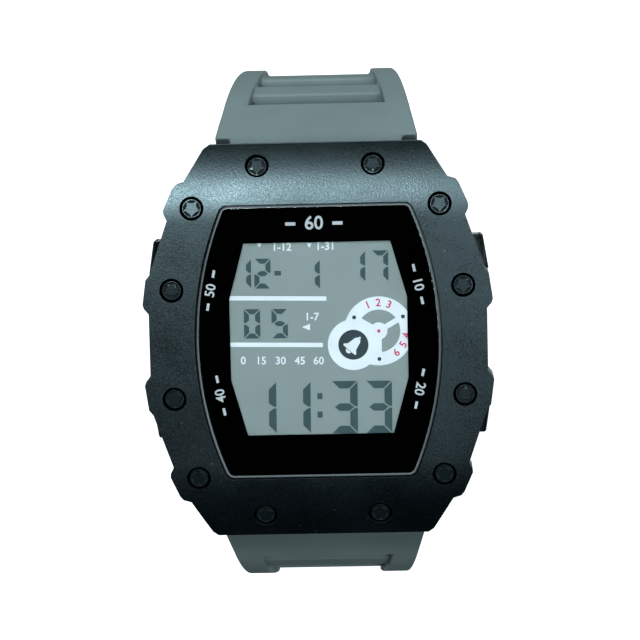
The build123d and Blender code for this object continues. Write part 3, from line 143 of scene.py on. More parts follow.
# Rows of digits: text, left lower corner, digit size, stroke, and pitch from digit to digit
DIGIT_ROWS = (
    ("1", (-10.7, 6.72), DATE_DIGIT, DATE_STROKE, 2.8),
    ("2", (-8.2, 6.72), DATE_DIGIT, DATE_STROKE, 2.8),
    ("1", (-1.88, 6.55), DATE_DIGIT, DATE_STROKE, 2.8),
    ("17", (3.9, 7.45), CORNER_DIGIT, DATE_STROKE, 2.95),
    ("05", (-9.62, 0.28), DAY_DIGIT, DATE_STROKE, 3.55),
    ("11", (-8.98, -12.1), TIME_DIGIT, TIME_STROKE, 4.42),
    ("33", (1.5, -12.1), TIME_DIGIT, TIME_STROKE, 4.42),
)

# Dash of the date and dots of the time: left, bottom, width and height
DIGIT_BARS = ((-5.62, 8.38, 0.86, 0.6), (-0.3, -7.65, 0.66, 0.8), (-0.3, -10.05, 0.66, 0.8))

# White printing on the display: rules like the bars above, pointers, and number scales
RULES = ((-11.6, 5.1, 12.55, 0.56), (-11.6, -0.9, 12.1, 0.56))
POINTERS = (
    ((-7.95, 12.45), (-7.35, 12.45), (-7.65, 11.9)),
    ((-1.55, 12.45), (-0.95, 12.45), (-1.25, 11.9)),
    ((-2.2, 1.68), (-1.15, 2.1), (-1.15, 1.26)),
)
LABEL_HEIGHT = 1.0
LABELS = (
    ("1-12", (-4.5, 12.05)),
    ("1-31", (1.1, 12.05)),
    ("1-7", (-0.85, 3.0)),
    ("0", (-9.8, -2.5)),
    ("15", (-7.5, -2.55)),
    ("30", (-5.0, -2.6)),
    ("45", (-2.5, -2.65)),
    ("60", (-0.1, -2.7)),
)

# Ring on the display: its spokes part two openings, and dots and red numbers stand on its rim
RING_CENTRE = (7.71, 1.04)
RING_RADIUS, RING_INNER_RADIUS, RING_HUB_RADIUS = 4.45, 2.76, 1.1
RING_SPOKE = 0.68
RING_OPENINGS = ((30, 150), (-90, 30))
RING_MARK_RADIUS = 3.62
RING_DOT_ANGLES = (30, 150, 270)
RING_NUMBERS = (("1", 112), ("2", 90), ("3", 68), ("4", -10), ("5", -30), ("6", -52))
RING_DOT_RADIUS, RING_CENTRE_DOT_RADIUS = 0.26, 0.22

# Small disc on the display, with its dark field and a plain bell, given before it is scaled and turned
DISC_CENTRE = (4.41, -0.67)
DISC_RADIUS, DISC_INNER_RADIUS = 3.28, 1.94
FIELD_THICKNESS, FIELD_OVERLAP = 0.01, 0.02
BELL_SCALE, BELL_TURN, BELL_SHIFT = 1.12, -42, 0.02
BELL_TOP, BELL_TOP_RADIUS, BELL_TOP_LEAN = 0.55, 0.42, 10
BELL_SIDE = ((0.47, 0.3), (0.62, -0.3), (0.95, -0.62), (0.86, -0.78))
BELL_CLAPPER, BELL_CLAPPER_RADIUS = -0.84, 0.34
BELL_KNOB, BELL_KNOB_RADIUS = 1.06, 0.14

# Numbers of steps in arcs and circles
CIRCLE_STEPS, RIM_STEPS, FIELD_STEPS, DOT_STEPS, KNOB_STEPS = 48, 72, 60, 20, 16
OPENING_STEPS, HUB_STEPS, BELL_TOP_STEPS, CLAPPER_STEPS, CORNER_STEPS = 24, 10, 12, 10, 8

# Minute scale under the glass, with a dash on each side: text, place, height, turn, dash width and length
MINUTES = (
    ("60", (-0.3, 15.05), 1.75, 0, (0.42, 1.3)),
    ("50", (-13.74, 6.7), 1.25, 79, (0.34, 0.95)),
    ("10", (12.85, 7.0), 1.25, -77, (0.34, 0.95)),
    ("40", (-12.8, -6.9), 1.25, 101, (0.34, 0.95)),
    ("20", (12.8, -6.5), 1.25, -103, (0.34, 0.95)),
)
DASH_PLACE = 1.35

# Text: share of its size that a digit is high, and extra weight as a share of that height
DIGIT_SHARE, TEXT_WEIGHT = 0.72, 0.022
TEXT_RESOLUTION = 3

# Bezel top, as in the part: its crown about the cross line and the steeper flanks at both ends
BEZEL_TOP_Z = 13.2
CROWN_HALF, CROWN_RADIUS, FLANK_RADIUS = 15.5, 222.0, 24.5
SCREW_PLACES = ((7.4, 22.6), (15.8, 17.4), (18.6, 7.0))
# Black rings in the gaps round the screw heads, standing for the shade there: painted shade
SHADE_RING_RADIUS, SHADE_RING_INNER_RADIUS, SHADE_RING_LOW, SHADE_RING_HIGH = 1.53, 1.2, -0.98, -0.42

# Camera: fitted to the twelve screws of the bezel in the photograph
CAMERA_TARGET = (0.0, 0.0, 13.0)
CAMERA_DISTANCE = 387.0
CAMERA_TILT, CAMERA_YAW, CAMERA_ROLL = 6.4, 2.0, -1.35
FOCAL_PX = 3032.2
CENTRE_PX = (318.35, 342.33)
PHOTO_PX = 640
SENSOR_MM = 36.0
CLIP_START, CLIP_END = 10.0, 20000.0

# Soft lights: lean from straight above along X and Y, width and length, watts and colour
LIGHT_DISTANCE = 900.0
LIGHTS = {
    "key": ((-11, 23), (250, 210), 4.3, (0.84, 1.0, 1.06)),
    "side": ((24, -2), (160, 400), 2.3, (0.8, 0.97, 1.06)),
}

# Floor: it shows pale, and lights nothing
FLOOR_SIZE = 3000.0
FLOOR_COLOUR, FLOOR_ROUGH, FLOOR_GLOW = (0.8, 0.8, 0.8, 1), 0.9, 1.0

# Surroundings: horizon on the side of the 6 and of the 12, darkness overhead, and where each fades
HORIZON_SIX, HORIZON_TWELVE, OVERHEAD = (0.13, 0.16, 0.17), (0.42, 0.50, 0.53), (0.0006, 0.002, 0.003)
SIX_TO_TWELVE = (-0.7, 0.1)
HORIZON_TO_OVERHEAD = (0.08, 0.26)

# Noise: the part of its range that holds nearly all of it, and a narrower one for more contrast
NOISE_RANGE, CONTRAST_RANGE = (0.3, 0.7), (0.35, 0.65)

# Moulded surfaces: clouds and spots in grains, and how far each moves the roughness
CLOUD_GRAINS, CLOUD_ROUGH, GRAIN_ROUGH = 40, 0.04, 0.03
SPOT_GRAINS, SPOT_RANGE, SPOT_GLOSS = 0.9, (0.36, 0.56), 0.1
SPECK_FADE, SPECK_STRENGTH = 0.03, 0.8

# Hollows: reach, and the openness that counts as shut and as open; they set where shade is painted into the
# colour and where the roughness goes duller
PAINTED_SHADE_HOLLOW, DULL_HOLLOW = (2.2, 0.35, 0.85), (0.55, 0.5, 0.8)
SOCKET_OPENNESS = (0.62, 0.88)
HOLLOW_ROUGH, SOCKET_ROUGH = 0.9, 0.6
OPENNESS_SAMPLES = 12

# Metals: scratches, grain and clouds, how far they move the roughness, and the shade of the clouds
SCRATCH_SIZE, METAL_GRAIN_SIZE, METAL_CLOUD_SIZE, METAL_DEPTH = 0.08, 0.12, 6.0, 0.004
SCRATCH_ROUGH, METAL_GRAIN_ROUGH = (-0.08, 0.1), 0.06
METAL_SHADE = 0.86

# Inks and clear pieces: clouds, smears, and how upright a normal is where a frosted edge ends
INK_CLOUD_SIZE, INK_SHADE, INK_GLOSS = 1.2, 0.93, 0.1
SMEAR_SIZE, SMEAR_STRETCH, SMEAR_RANGE, SMEAR_ROUGH = 5.0, (1, 0.4, 1), (0.5, 0.75), 0.05
FROST_END, FROST_ROUGH = (0.80, 0.97), 0.35

# Alignment from which a facet of the bezel takes the crown's exact normal
CROWN_ALIGNMENT = (0.990, 0.996)


def point(x, y, z):
    """A place in the part's frame, in metres."""
    return Vector((x, y, z)) * MM


def leaning(lean_x, lean_y):
    """Direction that leans from straight up by two angles, along X and along Y."""
    return Vector((math.tan(math.radians(lean_x)), math.tan(math.radians(lean_y)), 1)).normalized()


# Node helpers


def new_material(name):
    """Material with its Principled shader and object coordinates."""
    material = bpy.data.materials.new(name)
    material.use_nodes = True
    tree = material.node_tree
    shader = tree.nodes["Principled BSDF"]
    coords = tree.nodes.new("ShaderNodeTexCoord")
    return material, tree, shader, coords.outputs["Object"]


def noise(tree, coords, size, detail=3.0, stretch=(1, 1, 1)):
    """Noise whose features are about size millimetres across."""
    mapping = tree.nodes.new("ShaderNodeMapping")
    mapping.inputs["Scale"].default_value = [1 / (share * size * MM) for share in stretch]
    tree.links.new(coords, mapping.inputs["Vector"])
    texture = tree.nodes.new("ShaderNodeTexNoise")
    texture.inputs["Scale"].default_value = 1.0
    texture.inputs["Detail"].default_value = detail
    tree.links.new(mapping.outputs["Vector"], texture.inputs["Vector"])
    return texture.outputs["Fac"]


def remap(tree, value, low, high, to_low, to_high):
    """Value mapped from one range to another, clamped."""
    node = tree.nodes.new("ShaderNodeMapRange")
    tree.links.new(value, node.inputs["Value"])
    for name, number in (("From Min", low), ("From Max", high), ("To Min", to_low), ("To Max", to_high)):
        node.inputs[name].default_value = number
    return node.outputs["Result"]


def mix(tree, factor, first, second):
    """Colour mix of two colours, or of a socket and a colour, by a factor socket."""
    node = tree.nodes.new("ShaderNodeMix")
    node.data_type = "RGBA"
    tree.links.new(factor, node.inputs["Factor"])
    for socket, colour in ((node.inputs["A"], first), (node.inputs["B"], second)):
        if isinstance(colour, bpy.types.NodeSocket):
            tree.links.new(colour, socket)
        else:
            socket.default_value = (*colour, 1)
    return node.outputs["Result"]


def shaded(colour, share):
    """Colour with its brightness multiplied."""
    return [channel * share for channel in colour]


def bump(tree, shader, height, depth, after=None):
    """Bump of a depth in millimetres on a shader."""
    node = tree.nodes.new("ShaderNodeBump")
    node.inputs["Distance"].default_value = depth * MM
    tree.links.new(height, node.inputs["Height"])
    if after is not None:
        tree.links.new(after, node.inputs["Normal"])
    tree.links.new(node.outputs["Normal"], shader.inputs["Normal"])


def openness(tree, reach, low, high):
    """Share that is 0 in hollows, found within a reach, and 1 in the open."""
    node = tree.nodes.new("ShaderNodeAmbientOcclusion")
    node.samples = OPENNESS_SAMPLES
    node.inputs["Distance"].default_value = reach * MM
    return remap(tree, node.outputs["AO"], low, high, 0, 1)


def maths(tree, operation, first, second=None):
    """Math node on sockets or numbers."""
    node = tree.nodes.new("ShaderNodeMath")
    node.operation = operation
    for socket, value in zip(node.inputs, (first, second)):
        if isinstance(value, bpy.types.NodeSocket):
            tree.links.new(value, socket)
        elif value is not None:
            socket.default_value = value
    return node.outputs[0]


def parts_of(tree, vector):
    """X, Y and Z of a vector socket."""
    split = tree.nodes.new("ShaderNodeSeparateXYZ")
    tree.links.new(vector, split.inputs["Vector"])
    return split.outputs


def crown_normal(tree, coords):
    """Exact normal of the bezel's crowned top, used only on the facets that lie along it."""
    along = parts_of(tree, coords)["Y"]
    reach = maths(tree, "ABSOLUTE", along)
    crown_end, flank_end = CROWN_HALF * MM, (CROWN_HALF + FLANK_RADIUS) * MM
    crown = remap(tree, reach, 0, crown_end, 0, CROWN_HALF / CROWN_RADIUS)
    flank = remap(tree, reach, crown_end, flank_end, 0, 1)
    lean = maths(tree, "MULTIPLY", maths(tree, "ADD", crown, flank), maths(tree, "SIGN", along))
    rise = maths(tree, "SQRT", maths(tree, "SUBTRACT", 1.0, maths(tree, "MULTIPLY", lean, lean)))
    combined = tree.nodes.new("ShaderNodeCombineXYZ")
    tree.links.new(lean, combined.inputs["Y"])
    tree.links.new(rise, combined.inputs["Z"])
    turned_out = tree.nodes.new("ShaderNodeVectorTransform")
    turned_out.vector_type = "NORMAL"
    turned_out.convert_from = "OBJECT"
    turned_out.convert_to = "WORLD"
    tree.links.new(combined.outputs["Vector"], turned_out.inputs["Vector"])
    faces = tree.nodes.new("ShaderNodeNewGeometry")
    alignment = tree.nodes.new("ShaderNodeVectorMath")
    alignment.operation = "DOT_PRODUCT"
    tree.links.new(faces.outputs["True Normal"], alignment.inputs[0])
    tree.links.new(turned_out.outputs["Vector"], alignment.inputs[1])
    blend = tree.nodes.new("ShaderNodeMix")
    blend.data_type = "VECTOR"
    share = remap(tree, alignment.outputs["Value"], *CROWN_ALIGNMENT, 0, 1)
    tree.links.new(share, blend.inputs["Factor"])
    vectors = [socket for socket in blend.inputs if socket.type == "VECTOR" and socket.name in "AB"]
    tree.links.new(faces.outputs["Normal"], vectors[0])
    tree.links.new(turned_out.outputs["Vector"], vectors[1])
    return next(socket for socket in blend.outputs if socket.type == "VECTOR")


# Kinds of finish, with sizes and depths in millimetres


def moulded(
    name,
    colour,
    rough,
    grain,
    depth,
    metallic=0.0,
    spread=0.12,
    fleck=None,
    gloss=0.5,
    tint=None,
    mottle=0.0,
    painted_hollow_shade=None,
    shape=None,
):
    """Moulded or painted surface: fine grain, cloudy roughness, flecks of dust if asked, and painted shade
    that darkens its hollows if asked.
    """
    material, tree, shader, coords = new_material(name)
    cloud = noise(tree, coords, CLOUD_GRAINS * grain, detail=5.0)
    fine = noise(tree, coords, grain, detail=2.0)
    cloudy = remap(tree, cloud, *CONTRAST_RANGE, 0, 1)
    base = mix(tree, cloudy, shaded(colour, 1 - spread), shaded(colour, 1 + spread))
    if fleck is not None:
        fleck_colour, fleck_size, fleck_edge = fleck
        specks = noise(tree, coords, fleck_size, detail=1.0)
        speckled = remap(tree, specks, fleck_edge, fleck_edge + SPECK_FADE, 0, SPECK_STRENGTH)
        base = mix(tree, speckled, base, fleck_colour)
    # Painted shade: the colour darkens in hollows found by ambient occlusion
    if painted_hollow_shade is not None:
        base = mix(tree, openness(tree, *PAINTED_SHADE_HOLLOW), shaded(colour, painted_hollow_shade), base)
    tree.links.new(base, shader.inputs["Base Color"])
    cloud_level = remap(tree, cloud, *NOISE_RANGE, rough - CLOUD_ROUGH, rough + CLOUD_ROUGH)
    level = maths(tree, "ADD", cloud_level, remap(tree, fine, *NOISE_RANGE, -GRAIN_ROUGH, GRAIN_ROUGH))
    if mottle:
        spots = noise(tree, coords, SPOT_GRAINS * grain, detail=4.0)
        level = maths(tree, "ADD", level, remap(tree, spots, *SPOT_RANGE, mottle, -SPOT_GLOSS * mottle))
        hollow = remap(tree, openness(tree, *DULL_HOLLOW), 0, 1, HOLLOW_ROUGH, 0)
        level = maths(tree, "MAXIMUM", level, hollow)
    tree.links.new(level, shader.inputs["Roughness"])
    shader.inputs["Metallic"].default_value = metallic
    shader.inputs["Specular IOR Level"].default_value = gloss
    if tint is not None:
        shader.inputs["Specular Tint"].default_value = (*tint, 1)
    bump(tree, shader, fine, depth, after=shape and shape(tree, coords))
    return material


def brushed(name, colour, rough, stretch):
    """Brushed metal, with its scratches long in one direction."""
    material, tree, shader, coords = new_material(name)
    scratches = noise(tree, coords, SCRATCH_SIZE, detail=4.0, stretch=stretch)
    cloudy = remap(tree, noise(tree, coords, METAL_CLOUD_SIZE), *NOISE_RANGE, 0, 1)
    tree.links.new(mix(tree, cloudy, shaded(colour, METAL_SHADE), colour), shader.inputs["Base Color"])
    level = remap(tree, scratches, *NOISE_RANGE, rough + SCRATCH_ROUGH[0], rough + SCRATCH_ROUGH[1])
    tree.links.new(level, shader.inputs["Roughness"])
    shader.inputs["Metallic"].default_value = 1.0
    bump(tree, shader, scratches, METAL_DEPTH)
    return material


def ink(name, colour, rough=0.4):
    """Printed ink or a liquid crystal segment, slightly uneven."""
    material, tree, shader, coords = new_material(name)
    cloudy = remap(tree, noise(tree, coords, INK_CLOUD_SIZE, detail=4.0), *NOISE_RANGE, 0, 1)
    tree.links.new(mix(tree, cloudy, shaded(colour, INK_SHADE), colour), shader.inputs["Base Color"])
    shader.inputs["Roughness"].default_value = rough
    shader.inputs["Specular IOR Level"].default_value = INK_GLOSS
    return material


def recessed(name, colour, painted_shade_colour, rough, reach, gloss, tint):
    """Dull metal whose colour goes dark in its hollows, found within a reach, as painted shade; the hollows
    are duller too.
    """
    material, tree, shader, coords = new_material(name)
    grain = noise(tree, coords, METAL_GRAIN_SIZE)
    level = openness(tree, reach, *SOCKET_OPENNESS)
    # Painted shade: the colour goes near black where the hollows are shut
    tree.links.new(mix(tree, level, painted_shade_colour, colour), shader.inputs["Base Color"])
    shader.inputs["Specular IOR Level"].default_value = gloss
    shader.inputs["Specular Tint"].default_value = (*tint, 1)
    hollow = remap(tree, level, 0, 1, SOCKET_ROUGH, 0)
    grainy = remap(tree, grain, *NOISE_RANGE, rough - METAL_GRAIN_ROUGH, rough + METAL_GRAIN_ROUGH)
    tree.links.new(maths(tree, "ADD", hollow, grainy), shader.inputs["Roughness"])
    bump(tree, shader, grain, METAL_DEPTH)
    return material


def clear(name, tint, rough, ior, edge_colour=None):
    """Clear glass or plastic with faint smears, or with frosted edges of a given colour."""
    material, tree, shader, coords = new_material(name)
    shader.inputs["IOR"].default_value = ior
    if edge_colour is None:
        smears = noise(tree, coords, SMEAR_SIZE, detail=6.0, stretch=SMEAR_STRETCH)
        shader.inputs["Base Color"].default_value = (*tint, 1)
        level = remap(tree, smears, *SMEAR_RANGE, rough, rough + SMEAR_ROUGH)
        tree.links.new(level, shader.inputs["Roughness"])
        shader.inputs["Transmission Weight"].default_value = 1.0
        return material
    normal = tree.nodes.new("ShaderNodeNewGeometry").outputs["Normal"]
    flat = maths(tree, "ABSOLUTE", parts_of(tree, normal)["Z"])
    level = remap(tree, flat, *FROST_END, 0, 1)
    tree.links.new(mix(tree, level, edge_colour, tint), shader.inputs["Base Color"])
    tree.links.new(level, shader.inputs["Transmission Weight"])
    tree.links.new(remap(tree, level, 0, 1, FROST_ROUGH, rough), shader.inputs["Roughness"])
    return material


# Finishes: flecks are given as colour, size and the noise level at which they start
DUST = (0.30, 0.36, 0.38)
SATIN_TINT = (0.74, 0.94, 0.99)
bezel_finish = moulded(
    "bezel_resin",
    (0.0004, 0.0014, 0.0022),
    rough=0.31,
    grain=0.22,
    depth=0.014,
    fleck=(DUST, 0.26, 0.79),
    gloss=1.0,
    tint=SATIN_TINT,
    mottle=0.08,
    shape=crown_normal,
)
# The strap's colour darkens in its vents and hollows: painted shade
strap_finish = moulded(
    "strap_rubber",
    (0.258, 0.314, 0.305),
    rough=0.6,
    grain=0.2,
    depth=0.012,
    spread=0.05,
    fleck=(DUST, 0.3, 0.8),
    painted_hollow_shade=0.42,
)
# The screws' second colour is painted shade in their star sockets and round their rims
screw_finish = recessed(
    "dark_screw",
    (0.006, 0.010, 0.012),
    (0.001, 0.002, 0.002),
    rough=0.26,
    reach=1.0,
    gloss=0.85,
    tint=SATIN_TINT,
)
button_finish = moulded(
    "button_gloss",
    (0.006, 0.008, 0.009),
    rough=0.14,
    grain=0.5,
    depth=0.002,
    gloss=0.8,
)
buckle_finish = moulded(
    "buckle_steel",
    (0.028, 0.030, 0.033),
    rough=0.34,
    grain=0.3,
    depth=0.006,
    metallic=0.8,
)
case_finish = moulded("case_resin", (0.010, 0.0115, 0.013), rough=0.5, grain=0.3, depth=0.015)
steel_finish = brushed("steel", (0.56, 0.57, 0.58), rough=0.3, stretch=(1, 60, 60))
spring_finish = brushed("spring_steel", (0.60, 0.60, 0.60), rough=0.25, stretch=(40, 1, 1))
can_finish = brushed("crystal_can", (0.66, 0.67, 0.68), rough=0.22, stretch=(50, 1, 50))
brass_finish = brushed("contact_brass", (0.78, 0.60, 0.28), rough=0.28, stretch=(1, 50, 1))
seal_finish = moulded("seal_rubber", (0.022, 0.023, 0.024), rough=0.7, grain=0.25, depth=0.01)
frame_finish = moulded("frame_plastic", (0.70, 0.70, 0.67), rough=0.55, grain=0.4, depth=0.01, spread=0.04)
board_finish = moulded("board", (0.02, 0.14, 0.07), rough=0.4, grain=0.5, depth=0.01)
chip_finish = moulded("chip_resin", (0.012, 0.012, 0.012), rough=0.6, grain=0.2, depth=0.01)
capacitor_finish = moulded("capacitor_body", (0.45, 0.32, 0.2), rough=0.5, grain=0.3, depth=0.004)
guide_finish = moulded("light_guide", (0.8, 0.82, 0.8), rough=0.3, grain=0.6, depth=0.004, spread=0.03)
film_finish = moulded("display_film", (0.36, 0.42, 0.38), rough=0.3, grain=0.5, depth=0.002, spread=0.03)
face_finish = moulded("display_face", (0.138, 0.161, 0.152), rough=0.5, grain=0.35, depth=0.003, spread=0.03)
mask_finish = moulded("mask_ink", (0.0003, 0.0003, 0.0004), rough=0.5, grain=0.8, depth=0.001, gloss=0.0)
lens_finish = clear("lens_clear", (0.97, 0.985, 0.985), rough=0.015, ior=1.49, edge_colour=(0.34, 0.38, 0.39))
glass_finish = clear("display_glass", (0.86, 0.92, 0.9), rough=0.02, ior=1.5)
white_ink = ink("white_print", (0.54, 0.55, 0.57))
red_ink = ink("red_print", (0.40, 0.03, 0.08))
dark_ink = ink("dark_print", (0.024, 0.034, 0.038))
segment_ink = ink("display_segment", (0.030, 0.054, 0.056), rough=0.5)

# CAD nodes with rounded edges: finish, and radius of the rounding
PUSHERS = ("upper_left", "upper_right", "lower_left", "lower_right")
ROUNDED_NODES = {
    "bezel": (bezel_finish, 0.22),
    "bezel_screws": (screw_finish, 0.12),
    "case_body": (case_finish, 0.2),
    "case_back": (steel_finish, 0.08),
    "back_screws": (steel_finish, 0.05),
    "strap_pin_upper": (steel_finish, 0.08),
    "strap_pin_lower": (steel_finish, 0.08),
    "lens": (lens_finish, 0.13),
    "battery": (can_finish, 0.1),
    "buckle_frame": (buckle_finish, 0.3),
    "buckle_pin": (steel_finish, 0.06),
    "buckle_tongue": (buckle_finish, 0.22),
    **{f"pusher_{corner}": (button_finish, 0.12) for corner in PUSHERS},
}

# CAD nodes that keep their edges, by finish
PLAIN_NODES = (
    (steel_finish, ["module_screws"]),
    (mask_finish, ["lens_mask"]),
    (seal_finish, ["lens_gasket", "back_gasket", "contact_strips"]),
    (seal_finish, [f"seal_ring_{corner}" for corner in PUSHERS]),
    (spring_finish, [f"stem_clip_{corner}" for corner in PUSHERS]),
    (spring_finish, [f"return_spring_{corner}" for corner in PUSHERS]),
    (spring_finish, ["piezo_spring"]),
    (face_finish, ["display_overlay"]),
    (film_finish, ["front_polariser", "rear_polariser"]),
    (glass_finish, ["upper_glass", "lower_glass"]),
    (guide_finish, ["light_panel", "light_lamp"]),
    (frame_finish, ["module_frame"]),
    (board_finish, ["circuit_board"]),
    (chip_finish, ["chip"]),
    (can_finish, ["quartz_crystal", "battery_clip"]),
    (brass_finish, ["battery_contact", "piezo_buzzer", "switch_contacts"]),
    (capacitor_finish, ["capacitors"]),
)


def give_finish(node, finish):
    """Gives a CAD node its finish."""
    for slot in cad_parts[node].material_slots:
        slot.material = finish


def round_edges(obj, edge, angle):
    """Rounds the edges of a piece that are sharper than an angle, by modifiers alone."""
    bevel = obj.modifiers.new("edges", "BEVEL")
    bevel.width = edge * MM
    bevel.segments = EDGE_SEGMENTS
    bevel.limit_method = "ANGLE"
    bevel.angle_limit = math.radians(angle)
    smooth = obj.modifiers.new("smooth", "WEIGHTED_NORMAL")
    smooth.weight = FLAT_FACE_WEIGHT


for node, (finish, edge) in ROUNDED_NODES.items():
    give_finish(node, finish)
    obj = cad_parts[node]
    obj.data.shade_smooth()
    merge = obj.modifiers.new("merge", "WELD")
    merge.merge_threshold = WELD_DISTANCE * MM
    flat = obj.modifiers.new("flat", "DECIMATE")
    flat.decimate_type = "DISSOLVE"
    flat.angle_limit = math.radians(FLAT_ANGLE)
    round_edges(obj, edge, HARD_EDGE_ANGLE)
for finish, nodes in PLAIN_NODES:
    for node in nodes:
        give_finish(node, finish)

# The lens lets the light through to the display
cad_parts["lens"].visible_shadow = False

# Object and mesh helpers


def linked(name, data):
    """New object in the scene."""
    obj = bpy.data.objects.new(name, data)
    bpy.context.scene.collection.objects.link(obj)
    return obj


def new_object(name, mesh, finish, body):
    """A finished piece that rides on a body."""
    obj = linked(name, mesh)
    mesh.materials.append(finish)
    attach(obj, body)
    return obj


def curve_mesh(curve):
    """Mesh of a curve or text."""
    holder = linked(curve.name + "_outline", curve)
    mesh = bpy.data.meshes.new_from_object(holder)
    bpy.data.objects.remove(holder)
    return mesh


def plate_mesh(name, loops, low, high):
    """Flat plate between two heights, from closed outlines; an outline inside another is a hole."""
    curve = bpy.data.curves.new(name, "CURVE")
    curve.dimensions = "2D"
    curve.fill_mode = "BOTH"
    curve.extrude = (high - low) / 2 * MM
    for loop in loops:
        spline = curve.splines.new("POLY")
        spline.points.add(len(loop) - 1)
        for place, (x, y) in zip(spline.points, loop):
            place.co = (x * MM, y * MM, 0, 1)
        spline.use_cyclic_u = True
    mesh = curve_mesh(curve)
    mesh.transform(Matrix.Translation(point(0, 0, (low + high) / 2)))
    mesh.name = name
    return mesh


def text_mesh(name, text, centre, height, angle, low, high):
    """Plain printed numbers, centred on a place and turned."""
    curve = bpy.data.curves.new(name, "FONT")
    curve.body = text
    curve.align_x = "CENTER"
    curve.align_y = "CENTER"
    curve.size = height / DIGIT_SHARE * MM
    curve.offset = TEXT_WEIGHT * height * MM
    curve.extrude = (high - low) / 2 * MM
    curve.resolution_u = TEXT_RESOLUTION
    mesh = curve_mesh(curve)
    spin = Matrix.Rotation(math.radians(angle), 4, "Z")
    mesh.transform(Matrix.Translation(point(*centre, (low + high) / 2)) @ spin)
    return mesh


def mesh_of(name, whole):
    """Mesh of a bmesh, which is freed."""
    mesh = bpy.data.meshes.new(name)
    whole.to_mesh(mesh)
    whole.free()
    return mesh


def closed_mesh_of(name, whole):
    """Mesh of a closed bmesh, with its faces turned outwards."""
    bmesh.ops.recalc_face_normals(whole, faces=whole.faces)
    return mesh_of(name, whole)


def joined(name, meshes):
    """One mesh of several."""
    whole = bmesh.new()
    for mesh in meshes:
        whole.from_mesh(mesh)
        bpy.data.meshes.remove(mesh)
    return mesh_of(name, whole)


def join_rings(whole, rings):
    """Faces from each ring of vertices to the next, and from the last to the first."""
    for near, far in zip(rings, rings[1:] + rings[:1]):
        for i in range(len(near)):
            j = (i + 1) % len(near)
            whole.faces.new([near[i], near[j], far[j], far[i]])


def arc(centre, radius, start, finish, steps):
    """Points on an arc, with angles in degrees."""
    turns = [math.radians(start + (finish - start) * i / steps) for i in range(steps + 1)]
    return [(centre[0] + radius * math.cos(t), centre[1] + radius * math.sin(t)) for t in turns]


def circle(centre, radius, steps=CIRCLE_STEPS):
    """Closed circle."""
    return arc(centre, radius, 0, 360, steps)[:-1]


def rounded(width, height, radius):
    """Rounded rectangle about the origin."""
    x, y = width / 2 - radius, height / 2 - radius
    loop = []
    for cx, cy, start in ((x, y, 0), (-x, y, 90), (-x, -y, 180), (x, -y, 270)):
        loop += arc((cx, cy), radius, start, start + 90, CORNER_STEPS)
    return loop


def bar(x, y, width, height):
    """Rectangle from its left lower corner."""
    return [(x, y), (x + width, y), (x + width, y + height), (x, y + height)]


def turned(loops, angle):
    """Outlines turned about the origin."""
    c, s = math.cos(math.radians(angle)), math.sin(math.radians(angle))
    return [[(x * c - y * s, x * s + y * c) for x, y in loop] for loop in loops]


def moved(loops, x, y):
    """Outlines moved by a distance."""
    return [[(px + x, py + y) for px, py in loop] for loop in loops]


# Painted shade: black rings in the gaps around the heads of the bezel screws, where shade falls


def crown_frame(x, y):
    """Transform that sets a piece on the bezel's crowned top."""
    reach = abs(y)
    if reach <= CROWN_HALF:
        lean = math.asin(reach / CROWN_RADIUS)
        height = BEZEL_TOP_Z - CROWN_RADIUS * (1 - math.cos(lean))
    else:
        crown_end = math.asin(CROWN_HALF / CROWN_RADIUS)
        lean = math.asin(CROWN_HALF / CROWN_RADIUS + (reach - CROWN_HALF) / FLANK_RADIUS)
        height = BEZEL_TOP_Z - CROWN_RADIUS * (1 - math.cos(crown_end))
        height -= FLANK_RADIUS * (math.cos(crown_end) - math.cos(lean))
    return Matrix.Translation(point(x, y, height)) @ Matrix.Rotation(-math.copysign(lean, y), 4, "X")


# Each ring is painted shade, set in the gap round a screw head
shade_ring_loops = [circle((0, 0), SHADE_RING_RADIUS), circle((0, 0), SHADE_RING_INNER_RADIUS)]
shade_ring_meshes = []
for across, along in SCREW_PLACES:
    for x, y in ((across, along), (-across, along), (across, -along), (-across, -along)):
        shade_ring = plate_mesh("shade_ring", shade_ring_loops, SHADE_RING_LOW, SHADE_RING_HIGH)
        shade_ring.transform(crown_frame(x, y))
        shade_ring_meshes.append(shade_ring)
new_object("painted_shade_rings", joined("painted_shade_rings", shade_ring_meshes), mask_finish, "watch")

# Return springs: each CAD node is copied into a loose piece in place, and the node is hidden
for corner in PUSHERS:
    spring_node = f"return_spring_{corner}"
    coil = linked(f"return_coil_{corner}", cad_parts[spring_node].data.copy())
    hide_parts(spring_node)
    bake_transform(coil)

# Display: outlines of its digits, ring and bell


def segment_loops(size, thick):
    """The seven segments of one digit, by their letters, from its left lower corner."""
    width, height = size
    half = height / 2
    gap = DIGIT_GAP
    nose = SEGMENT_NOSE * thick
    right_upper = [
        (width, height - gap),
        (width, half + gap),
        (width - nose, half + gap),
        (width - thick, half + gap + thick / 2),
        (width - thick, height - thick - gap),
    ]
    top = [
        (gap, height),
        (width - gap, height),
        (width - thick - gap, height - thick),
        (thick + gap, height - thick),
    ]
    middle = [
        (nose + gap, half),
        (thick + gap, half + thick / 2),
        (width - thick - gap, half + thick / 2),
        (width - nose - gap, half),
        (width - thick - gap, half - thick / 2),
        (thick + gap, half - thick / 2),
    ]
    down = [[(x, height - y) for x, y in loop] for loop in (right_upper, top)]
    left = [[(width - x, y) for x, y in loop] for loop in (right_upper, down[0])]
    return {"a": top, "b": right_upper, "c": down[0], "d": down[1], "e": left[1], "f": left[0], "g": middle}


def number_loops(text, corner, size, thick, pitch):
    """Seven-segment outlines of a row of digits from its left lower corner."""
    segments = segment_loops(size, thick)
    loops = []
    for place, digit in enumerate(text):
        lit = [segments[letter] for letter in LIT_SEGMENTS[digit]]
        loops += moved(lit, corner[0] + place * pitch, corner[1])
    return loops


